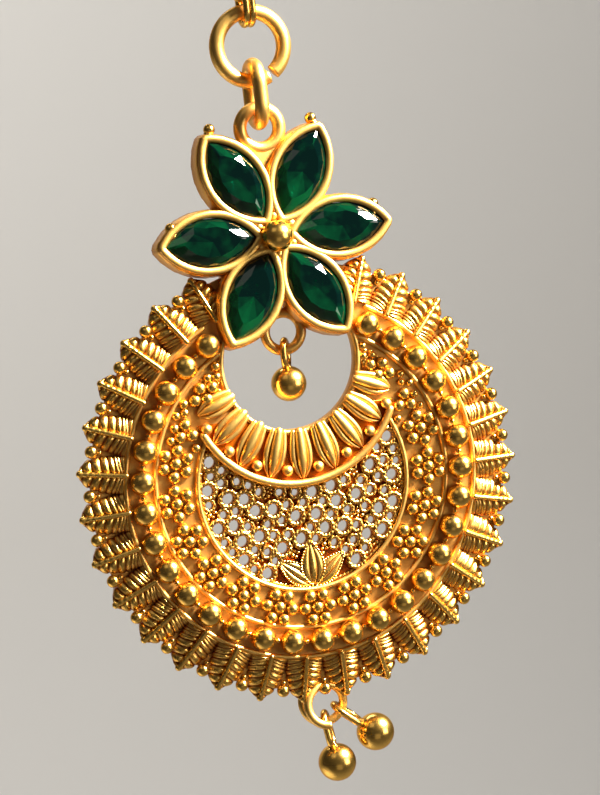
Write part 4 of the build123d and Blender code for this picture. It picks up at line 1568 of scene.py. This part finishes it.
@dataclass
class Flower(Assembly):
    """Six bezels with their stones round a ball, with four knobs, leaning back at the top.

    A level of a stone is its height, its share of the pointed oval and its turn in facets.
    """

    up: float = 20.9
    height: float = 0.10
    lean: float = 5.0
    turns: tuple[int, ...] = (30, 90, 150, 210, 270, 330)
    stone_long: float = 8.0
    stone_wide: float = 4.2
    stone_out: float = 5.75
    facets: int = 7
    levels: tuple[tuple[float, float, float], ...] = (
        (-1.22, 0.10, 0.0),
        (-0.80, 0.55, 0.5),
        (-0.42, 1.00, 0.0),
        (-0.24, 1.00, 0.0),
        (0.13, 0.83, 0.5),
        (0.42, 0.62, 0.0),
    )
    back: float = -2.1
    seat: float = -1.42
    web_corners: tuple[Spot, ...] = ((0, 2.5), (3.3, 7.9), (-3.3, 7.9))
    web_face: float = -0.62
    solder: Ball = Ball(0.52, 16, 10, 0.5)
    solder_ring: float = 1.62
    middle: Ball = Ball(1.35, 40, 26, 0.5)
    middle_place: tuple[float, float, float] = (-0.12, -0.15, 0.40)
    knob: Ball = Ball(0.50, 20, 14, 0.3)
    knob_posts: tuple[tuple[float, float, float], ...] = ((4.5, 9.5, 20.0), (9.0, 1.6, -10.0))

    def frame(self) -> Array:
        """The matrix from the flower's frame to the disc's."""
        return shift(0, self.up, self.height) @ spin(Axis.ACROSS, -self.lean)

    def places(self) -> Array:
        """The stones' places in the disc's frame, stacked."""
        out = shift(0, self.stone_out, 0)
        return np.array([self.frame() @ spin(Axis.HEIGHT, -turn) @ out for turn in self.turns])

    def bow(self) -> float:
        """The radius of the stones' long sides: (length squared + width squared) over 4 widths."""
        return (self.stone_long**2 + self.stone_wide**2) / (4 * self.stone_wide)

    def outline(self, sides: int, tips: int) -> tuple[Array, Array]:
        """The pointed oval of the stones, as points and the outward directions at them.

        Each long side is an arc. At each tip the direction turns from one side's to the other's.

        Args:
            sides: points along each side.
            tips: points at each tip.

        Returns:
            The points and the directions, one a row, at height 0.
        """
        half = math.asin(self.stone_long / 2 / self.bow())
        right = swept(1.0, np.linspace(-half, half, sides))
        top = swept(1.0, np.linspace(half, math.pi - half, tips + 2)[1:-1])
        side = self.bow() * right - [self.bow() - self.stone_wide / 2, 0, 0]
        tip = 0 * top + [0, self.stone_long / 2, 0]
        return np.vstack([side, tip, -side, -tip]), np.vstack([right, top, -right, -top])

    def bezel(self) -> Skin:
        """One bezel: a wall with a rolled lip and a fine step outside, and the seat inside it.

        The wall is a profile of distance from the stone, height and painted shade, carried round the
        pointed oval: each point is the oval's point plus the distance times its outward direction.

        Returns:
            The skin.
        """
        away, height, age = np.array(BEZEL_PROFILE).T[..., None]
        points, outward = self.outline(40, 11)
        number = np.arange(len(points))
        ripple = 1 + 0.03 * np.sin(1.9 * number) * np.sin(0.61 * number)
        grid = points + (away * ripple)[..., None] * outward
        grid[..., 2] = height
        wall = Skin.from_grid(grid, np.repeat(age, len(points), axis=1), ring=True)
        rim = points[np.linspace(0, len(points) - 1, 60).astype(int)]
        # the seat under the stone in full painted shade
        return together([wall, sheet([rim], self.back, self.seat, bevel=0.03, age=1.0)])

    def stone(self) -> Skin:
        """One marquise stone in its own frame: table, crown of kite facets, girdle and keel.

        Rings of corners lie on shares of the pointed oval at set heights. Every second ring is
        shifted by half a facet, so that the crown is cut in kites and triangles.

        Returns:
            The stone.
        """
        rings = []
        for height, share, offset in self.levels:
            step = (np.arange(self.facets) + offset) / self.facets
            along = self.stone_long / 2 * np.cos(math.pi * step)
            across = np.sqrt(self.bow() ** 2 - along**2) - self.bow() + self.stone_wide / 2
            half = np.stack([across, along], axis=-1)
            ring = share * np.vstack([half, -half])
            rings.append(np.column_stack([ring, np.full(len(ring), height)]))
        return self.faceted(np.array(rings), [offset for *_, offset in self.levels])

    def faceted(self, rings: Array, offsets: Sequence[float]) -> Skin:
        """Flat triangles between rings of corners, closed by a fan at the keel and at the table.

        Args:
            rings: corners in rings from the keel up.
            offsets: by how much of a facet each ring is turned.

        Returns:
            The skin, with its corners shared.
        """
        levels, count = rings.shape[:2]
        index = np.arange(levels * count).reshape(levels, count)
        triangles = []
        for low in range(levels - 1):
            first, second = index[low], index[low + 1]
            if offsets[low] <= offsets[low + 1]:
                triangles.append(np.stack([first, np.roll(first, -1), second], axis=-1))
                triangles.append(np.stack([np.roll(first, -1), np.roll(second, -1), second], axis=-1))
            else:
                triangles.append(np.stack([first, np.roll(second, -1), second], axis=-1))
                triangles.append(np.stack([first, np.roll(first, -1), np.roll(second, -1)], axis=-1))
        points = rings.reshape(-1, 3)
        ends = np.array([rings[0].mean(axis=0), rings[-1].mean(axis=0)])
        points = np.vstack([points, ends])
        foot = np.stack([np.roll(index[0], -1), index[0], np.full(count, len(points) - 2)], axis=-1)
        head = np.stack([index[-1], np.roll(index[-1], -1), np.full(count, len(points) - 1)], axis=-1)
        skin = Skin(points, np.zeros((0, 4), int), np.vstack([*triangles, foot, head]), np.zeros(len(points)))
        return skin if skin.volume() > 0 else skin.inside_out()

    def lit(self, stone: Skin, place: Array) -> Skin:
        """A stone with a painted glow set by where its corners lie from the stone's middle.

        Args:
            stone: the stone in its own frame.
            place: its matrix to the disc's frame.

        Returns:
            The stone in its own frame, with a painted glow to the lower left as it stands in the flower.
        """
        standing = stone.points @ place[:3, :3].T
        glow = (-0.62 * standing[:, 0] - 0.78 * standing[:, 1]) / (self.stone_long / 2)
        return Skin(stone.points, stone.quads, stone.triangles, np.clip(0.12 + 0.75 * glow, 0, 1))

    def web(self) -> Skin:
        """The plate that closes the gap between the two upper bezels, and solder beside the ball."""
        outline = np.array([(*corner, 0) for corner in self.web_corners], float)
        between = [turn - 60 for turn in self.turns]
        solder = self.solder.skin().placed(turned_out(between, self.solder_ring, -0.50))
        return together([sheet([outline], self.back, self.web_face, bevel=0.15, age=0.05), solder])

    def knobs(self) -> Skin:
        """The ball at the middle and the four knobs on their posts, in the flower's frame."""
        post = np.array([[0, 0, 0], [0, -0.5, 0], [0, -1.0, 0]], float)
        girth = np.array([[0.36], [0.40], [0.48]])
        knob = together([wire(post, girth, Axis.HEIGHT.vector(), age=0.2), self.knob.skin()])
        skins = [self.middle.skin().placed(shift(*self.middle_place))]
        for side in (-1, 1):
            for across, up, lean in self.knob_posts:
                skins.append(knob.placed(shift(side * across, up, -0.60) @ spin(Axis.HEIGHT, side * lean)))
        return together(skins)

    def pieces(self) -> list[Piece]:
        """The flower's metal."""
        bezels = together([self.bezel().placed(self.places()), self.web().placed(self.frame())])
        return [
            ("flower_bezels", bezels, Gold.SATIN),
            ("flower_knobs", self.knobs().placed(self.frame()), Gold.POLISHED),
        ]

    def dress(self, workshop: Workshop, place: Array) -> None:
        """Make the flower's metal and its six stones.

        Args:
            workshop: makes the objects.
            place: the matrix from the disc's frame to the object's.
        """
        super().dress(workshop, place)
        stone = self.stone()
        for number, stone_place in enumerate(self.places(), start=1):
            lit, node = self.lit(stone, stone_place), f"stone_{number}"
            workshop.piece(f"cut_{node}", lit, place @ stone_place, EMERALD, "jewel", [node], smooth=False)


# ---- rings, drops, chain and hook ---------------------------------------------------------------
@dataclass(frozen=True)
class Drop:
    """A drop: its loop's bend and straights, and its ball."""

    bend: float
    straight: float
    ball: Ball


@dataclass
class Findings(Assembly):
    """What hangs the pendant and what hangs from it, by the heights of the two swing axes.

    A bend is the radius of a wire's middle line. A hang of a foot drop is where it is on the coil,
    how far it leans and how far its loop is turned, in degrees.
    """

    swing_z: float
    sway_z: float
    gap: float = 0.10
    bail_up: float = 29.95
    bail_height: float = -1.60
    bail_bend: float = 1.725
    bail_wire: float = 0.575
    eye_up: float = 12.5
    eye_height: float = -1.45
    eye_bend: float = 1.62
    eye_wire: float = 0.45
    ring_radius: float = 2.95
    ring_wire: float = 0.65
    ring_joint: tuple[float, float] = (-58.5, 5.5)
    link_bend: float = 1.625
    link_straight: float = 1.70
    link_wire: float = 0.625
    chain_links: int = 21
    chain_pitch: float = 2.15
    chain_bend: float = 1.16
    chain_straight: float = 0.66
    chain_wire: float = 0.29
    chain_twin: float = 0.52
    coil_up: float = -20.05
    coil_height: float = -0.35
    coil_radius: float = 1.72
    coil_pitch: float = 1.80
    coil_wire: float = 0.375
    coil_turns: float = 1.5
    drop_wire: float = 0.30
    inner_drop: Drop = Drop(1.0, 0.40, Ball(1.525, 44, 28, 0.1))
    inner_turn: float = 65.0
    foot_drop: Drop = Drop(1.05, 1.0, Ball(1.65, 44, 28, 0.1))
    foot_hangs: tuple[tuple[float, float, float], ...] = ((0, 9, 68), (68, 50, 80))
    hook_bend: float = 2.8
    hook_eye: float = 1.35
    hook_wire: float = 0.45
    hook_long: float = 8.0
    hook_end: Ball = Ball(0.54, 20, 14)
    up: Array = field(default_factory=Axis.HEIGHT.vector)

    def disc_place(self) -> Array:
        """The matrix from the disc's frame to the object's, both in millimetres."""
        link_seat = self.bail_bend - self.bail_wire - self.gap - self.link_wire
        return self.front(self.sway_z - link_seat - self.bail_up, self.bail_height)

    @staticmethod
    def front(centre_z: float, centre_y: float = 0.0) -> Array:
        """The matrix of an upright frame seen from the front, whose height looks along -Y."""
        return np.array([[1, 0, 0, 0], [0, 0, -1, centre_y], [0, 1, 0, centre_z], [0, 0, 0, 1]], float)

    @staticmethod
    def side(centre_z: float) -> Array:
        """The matrix of an upright frame seen from the side, whose height looks along +X."""
        return np.array([[0, 0, 1, 0], [1, 0, 0, 0], [0, 1, 0, centre_z], [0, 0, 0, 1]], float)

    def soldered(self) -> Skin:
        """The bail, the half ring under the flower and the coiled eyelet, in the disc's frame.

        The coil's point at a turn a is (-radius sine a, -radius cosine a, height less the pitch
        times a over a full turn).

        Returns:
            The skin.
        """
        # light painted shades on the bail, the half ring and the coil
        bail = wire(hoop(self.bail_bend, 0.0, 60), self.bail_wire, self.up, closed=True, sides=16, age=0.15)
        eye = wire(hoop(self.eye_bend, 0.0, 60), self.eye_wire, self.up, closed=True, sides=14, age=0.2)
        turn = np.linspace(0, 2 * math.pi * self.coil_turns, 110)
        across, up = -self.coil_radius * np.sin(turn), self.coil_up - self.coil_radius * np.cos(turn)
        coil = np.stack([across, up, self.coil_height - self.coil_pitch * turn / (2 * math.pi)], axis=-1)
        return together(
            [
                bail.placed(shift(0, self.bail_up, self.bail_height)),
                eye.placed(shift(0, self.eye_up, self.eye_height)),
                wire(coil, self.coil_wire, self.up, sides=14, dome=0.25, age=0.08),
            ]
        )

    def drop(self, kind: Drop) -> Skin:
        """A loop with a ball under it, hanging down from the middle of the wire at its top.

        Args:
            kind: its sizes.

        Returns:
            The skin.
        """
        loop = wire(hoop(kind.bend, kind.straight), self.drop_wire, self.up, closed=True, sides=14, age=0.05)
        foot = 0.20 - 2 * kind.bend - kind.straight
        neck = np.array([[0, foot + 0.12, 0], [0, foot - 0.12, 0], [0, foot - 0.5, 0]], float)
        girth = np.array([[self.drop_wire], [0.50], [0.62]])
        return together(
            [
                loop.placed(shift(0, -kind.bend - kind.straight / 2)),
                # painted shade at the neck between the loop and the ball
                wire(neck, girth, self.up, sides=12, age=0.5),
                kind.ball.skin().placed(shift(0, foot - kind.ball.radius) @ spin(Axis.ACROSS, 90)),
            ]
        )

    def inner_place(self) -> Array:
        """The place of the inner drop on the half ring, in the disc's frame."""
        up = self.eye_up - self.eye_bend + self.eye_wire + self.gap + self.drop_wire
        return shift(0, up, self.eye_height) @ spin(Axis.UP, self.inner_turn)

    def foot_place(self, clock: float, lean: float, turn: float) -> Array:
        """The place of a drop in the coiled eyelet.

        Args:
            clock: where on the coil it hangs, in degrees from straight down to the right.
            lean: how far it leans to the right, in degrees.
            turn: how far its loop is turned about its own length.

        Returns:
            The matrix to the disc's frame.
        """
        seat = self.coil_radius - self.coil_wire - self.gap - self.drop_wire
        across, up = from_bottom(seat, clock, self.coil_up)
        depth = self.coil_height - self.coil_pitch * (1 - clock / 360)
        return shift(across, up, depth) @ spin(Axis.HEIGHT, lean) @ spin(Axis.UP, turn)

    def link(self) -> Skin:
        """The oval link, in its own upright frame."""
        path = hoop(self.link_bend, self.link_straight)
        return wire(path, self.link_wire, self.up, closed=True, sides=18, age=0.08)

    def top_ring(self) -> Skin:
        """The round ring with its open joint at the lower right, in its own upright frame."""
        middle, half = self.ring_joint
        turn = np.radians(np.linspace(middle + half, middle + 360 - half, 120))
        return wire(swept(self.ring_radius, turn), self.ring_wire, self.up, sides=20, dome=0.12, age=0.08)

    def chain(self) -> Skin:
        """The chain: links of two wires side by side, each turned a quarter from the last."""
        path = hoop(self.chain_bend, self.chain_straight, 40)
        one = wire(path, self.chain_wire, self.up, closed=True, sides=10)
        twin = together([one.placed(shift(height=side * self.chain_twin / 2)) for side in (-1, 1)])
        lowest = self.swing_z + 2 * self.ring_radius + 0.05 + self.chain_straight / 2
        skins = []
        for number in range(self.chain_links):
            centre = lowest + (self.chain_links - 1 - number) * self.chain_pitch
            skins.append(twin.placed(self.front(centre) if number % 2 else self.side(centre)))
        return together(skins)

    def hook(self) -> Skin:
        """The hair hook: one wire round its eye, up its neck and shank, and over to its tail."""
        bend_z = self.hook_wire - self.hook_bend
        eye_z = bend_z - self.hook_long
        left, right = -self.hook_bend, self.hook_bend
        eye = swept(self.hook_eye, np.radians(np.linspace(462, 180, 48))) + [0, eye_z, 0]
        over = swept(self.hook_bend, np.radians(np.linspace(180, 0, 40))) + [0, bend_z, 0]
        neck = [(-self.hook_eye, eye_z), (-self.hook_eye, eye_z + 1.7), (left, bend_z - 4.4), (left, bend_z)]
        tail = bent([(right, bend_z), (right, bend_z - 3.22), (3.65, bend_z - 4.6)], 2.0)
        path = np.vstack([eye, bent(neck, 1.4)[1:], over[1:], tail[1:]])
        end = self.hook_end.skin().placed(shift(*path[-1]))
        return together([wire(path, self.hook_wire, self.up, sides=16, age=0.1), end])

    def pieces(self) -> list[Piece]:
        """The rings that are soldered to the pendant."""
        return [("soldered_rings", self.soldered(), Gold.SATIN)]

    def dress(self, workshop: Workshop, place: Array) -> None:
        """Make the soldered rings, the drops, the link, the top ring, the chain and the hook.

        Args:
            workshop: makes the objects.
            place: the matrix from the disc's frame to the object's.
        """
        super().dress(workshop, place)
        inner, foot = self.drop(self.inner_drop), self.drop(self.foot_drop)
        link_place = self.side(self.sway_z + self.link_bend + self.link_straight / 2)
        ring_place = self.front(self.swing_z + self.ring_radius)
        loose = [("inner_drop", "ball", inner, place @ self.inner_place(), Gold.POLISHED, "jewel")]
        for number, hang in enumerate(self.foot_hangs, start=1):
            hang_place = place @ self.foot_place(*hang)
            loose.append((f"foot_drop_{number}", "ball", foot, hang_place, Gold.POLISHED, "jewel"))
        loose += [
            ("oval_link", "wire", self.link(), link_place, Gold.SATIN, "link"),
            ("top_ring", "wire", self.top_ring(), ring_place, Gold.SATIN, "hanger"),
            ("chain", "links", self.chain(), np.eye(4), Gold.POLISHED, "hanger"),
            ("hair_hook", "wire", self.hook(), self.front(0.0), Gold.POLISHED, "hanger"),
        ]
        for node, what, skin, where, finish, body in loose:
            workshop.piece(f"{node}_{what}", skin, where, finish, body, [node])


# ---- studio -------------------------------------------------------------------------------------
def standing(side: Array, above: Array, back: Array, place: Array) -> Matrix:
    """The matrix of an object that stands free.

    Args:
        side: the direction to its right.
        above: its upward direction.
        back: the direction opposite to the one that it looks in.
        place: its place in metres.

    Returns:
        The matrix.
    """
    matrix = np.eye(4)
    matrix[:3] = np.column_stack([side, above, back, place])
    return Matrix(matrix.tolist())


@dataclass(frozen=True)
class Lamp:
    """A square area lamp: its place, width and aim in metres from the disc's centre, and its watts.

    The beam is the full angle that it lights, in degrees.
    """

    name: str
    place: Point
    width: float
    power: float
    colour: Colour
    aim: Point = (0.0, 0.0, 0.0)
    beam: float = 180.0

    def hang(self, centre: Array) -> None:
        """Put it in the scene.

        Args:
            centre: the disc's centre in metres.
        """
        data = bpy.data.lights.new(self.name, "AREA")
        data.shape = "SQUARE"
        data.size, data.energy, data.color = self.width, self.power, self.colour
        data.spread = math.radians(self.beam)
        away = np.array(self.place)
        back = unit(away - self.aim)
        side = unit(np.cross([0, 0, 1.0], back))
        lamp = bpy.data.objects.new(self.name, data)
        lamp.matrix_world = standing(side, np.cross(back, side), back, centre + away)
        bpy.context.scene.collection.objects.link(lamp)


LAMPS = (
    Lamp("key", (0.28, -0.13, 0.25), 0.10, 1.95, (1.0, 0.95, 0.84), (0.0, 0.0, 0.02), 50.0),
    Lamp("front", (0.66, -0.58, 0.04), 0.45, 0.42, (1.0, 0.94, 0.84), (0.0, 0.0, 0.02), 60.0),
    Lamp("low", (-0.05, -0.70, -0.32), 0.45, 0.15, (1.0, 0.90, 0.74)),
    Lamp("fill", (-0.35, -0.40, 0.66), 0.40, 0.25, (1.0, 0.93, 0.80)),
    Lamp("wall", (0.0, 0.45, 0.60), 0.40, 9.5, (1.0, 1.0, 1.0), (0.0, 1.3, -0.15)),
)


@dataclass
class Studio:
    """Camera, lamps, world, and the pale floor and wall behind the object.

    The camera's target and distance are in millimetres, and the stage's sizes are in metres.
    """

    floor_z: float
    disc_place: Array
    target: Point = (0.43, 6.83, 0.0)
    distance: float = 260.0
    yaw: float = 16.38
    pitch: float = 6.05
    roll: float = 6.45
    lens: float = 138.0
    world_colour: Colour = (1.0, 0.92, 0.82)
    world_strength: float = 0.05
    paper: Colour = (0.78, 0.75, 0.70)
    stage_front: float = -1.4
    stage_deep: float = 2.4
    stage_bend: float = 0.30
    stage_high: float = 1.8
    stage_half: float = 2.4
    stage_grid: tuple[int, int] = (60, 9)

    def camera(self) -> None:
        """The camera, a little to the left of the object's face and above it, and rolled.

        It stands at the target plus the distance times the backward direction, which is (-sine
        yaw cosine pitch, -cosine yaw cosine pitch, sine pitch).
        """
        yaw, pitch, roll = (math.radians(value) for value in (self.yaw, self.pitch, self.roll))
        back = np.array([-math.sin(yaw) * math.cos(pitch), -math.cos(yaw) * math.cos(pitch), math.sin(pitch)])
        level = np.array([math.cos(yaw), -math.sin(yaw), 0.0])
        above = np.cross(back, level)
        side = math.cos(roll) * level - math.sin(roll) * above
        top = math.sin(roll) * level + math.cos(roll) * above
        target = (self.disc_place @ [*self.target, 1.0])[:3]
        data = bpy.data.cameras.new("camera")
        data.lens = self.lens
        data.clip_start, data.clip_end = 0.01, 20.0
        camera = bpy.data.objects.new("camera", data)
        camera.matrix_world = standing(side, top, back, (target + self.distance * back) * METRES)
        bpy.context.scene.collection.objects.link(camera)
        bpy.context.scene.camera = camera

    def world(self) -> None:
        """A dim, warm and even world."""
        world = bpy.data.worlds.new("studio_world")
        world.use_nodes = True
        ground = world.node_tree.nodes["Background"]
        ground.inputs["Color"].default_value = (*self.world_colour, 1)
        ground.inputs["Strength"].default_value = self.world_strength
        bpy.context.scene.world = world

    def stage(self) -> None:
        """The floor that turns up into a wall behind the object, in one curved sheet.

        From front to back it runs flat for the first 45 rows in 100, turns up through a quarter
        circle for the next 25, and rises as a wall for the rest.
        """
        rows, columns = self.stage_grid
        run = np.linspace(0, 1, rows)
        turn = np.clip((run - 0.45) / 0.25, 0, 1) * math.pi / 2
        flat, rise = np.clip(run / 0.45, 0, 1), np.clip((run - 0.70) / 0.30, 0, 1)
        depth = self.stage_front + self.stage_deep * flat + self.stage_bend * np.sin(turn)
        height = self.floor_z + self.stage_bend * (1 - np.cos(turn)) + self.stage_high * rise
        across, depth = np.meshgrid(np.linspace(-self.stage_half, self.stage_half, columns), depth)
        grid = np.stack([across, depth, np.repeat(height[:, None], columns, axis=1)], axis=-1)
        index = np.arange(rows * columns).reshape(rows, columns)
        corners = [index[:-1, :-1], index[:-1, 1:], index[1:, 1:], index[1:, :-1]]
        faces = np.stack(corners, axis=-1).reshape(-1, 4)
        mesh = bpy.data.meshes.new("backdrop")
        mesh.from_pydata(grid.reshape(-1, 3).tolist(), [], faces.tolist())
        mesh.polygons.foreach_set("use_smooth", np.full(len(faces), True))
        paper = Bench("backdrop_paper").finished({"Base Color": (*self.paper, 1), "Roughness": 0.9})
        mesh.materials.append(paper)
        backdrop = bpy.data.objects.new("backdrop", mesh)
        bpy.context.scene.collection.objects.link(backdrop)
        backdrop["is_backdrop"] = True

    def build(self) -> None:
        """Set the whole studio up, with colours shown as they are."""
        bpy.context.scene.view_settings.view_transform = "Standard"
        self.camera()
        self.world()
        self.stage()
        centre = np.array([0, 0, self.disc_place[2, 3] * METRES])
        for lamp in LAMPS:
            lamp.hang(centre)


def main() -> None:
    """Load the frame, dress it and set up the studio."""
    logging.basicConfig(level=logging.INFO, format="%(name)s: %(message)s")
    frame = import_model()
    cad_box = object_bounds()
    heights = {joint["name"]: joint["pos_m"][2] / METRES for joint in frame["joints"]}
    findings = Findings(heights["link_swing"], heights["jewel_swing"])
    place, workshop, disc = findings.disc_place(), Workshop(), Disc()
    casting = (disc, LeafRing(), Granulation(disc), FlutedBand(disc), PiercedWork(disc))
    for assembly in (*casting, Flower(), findings):
        assembly.dress(workshop, place)
    Studio(float(cad_box[0][2]) - FLOOR_DROP, place).build()


if __name__ == "__main__":
    main()
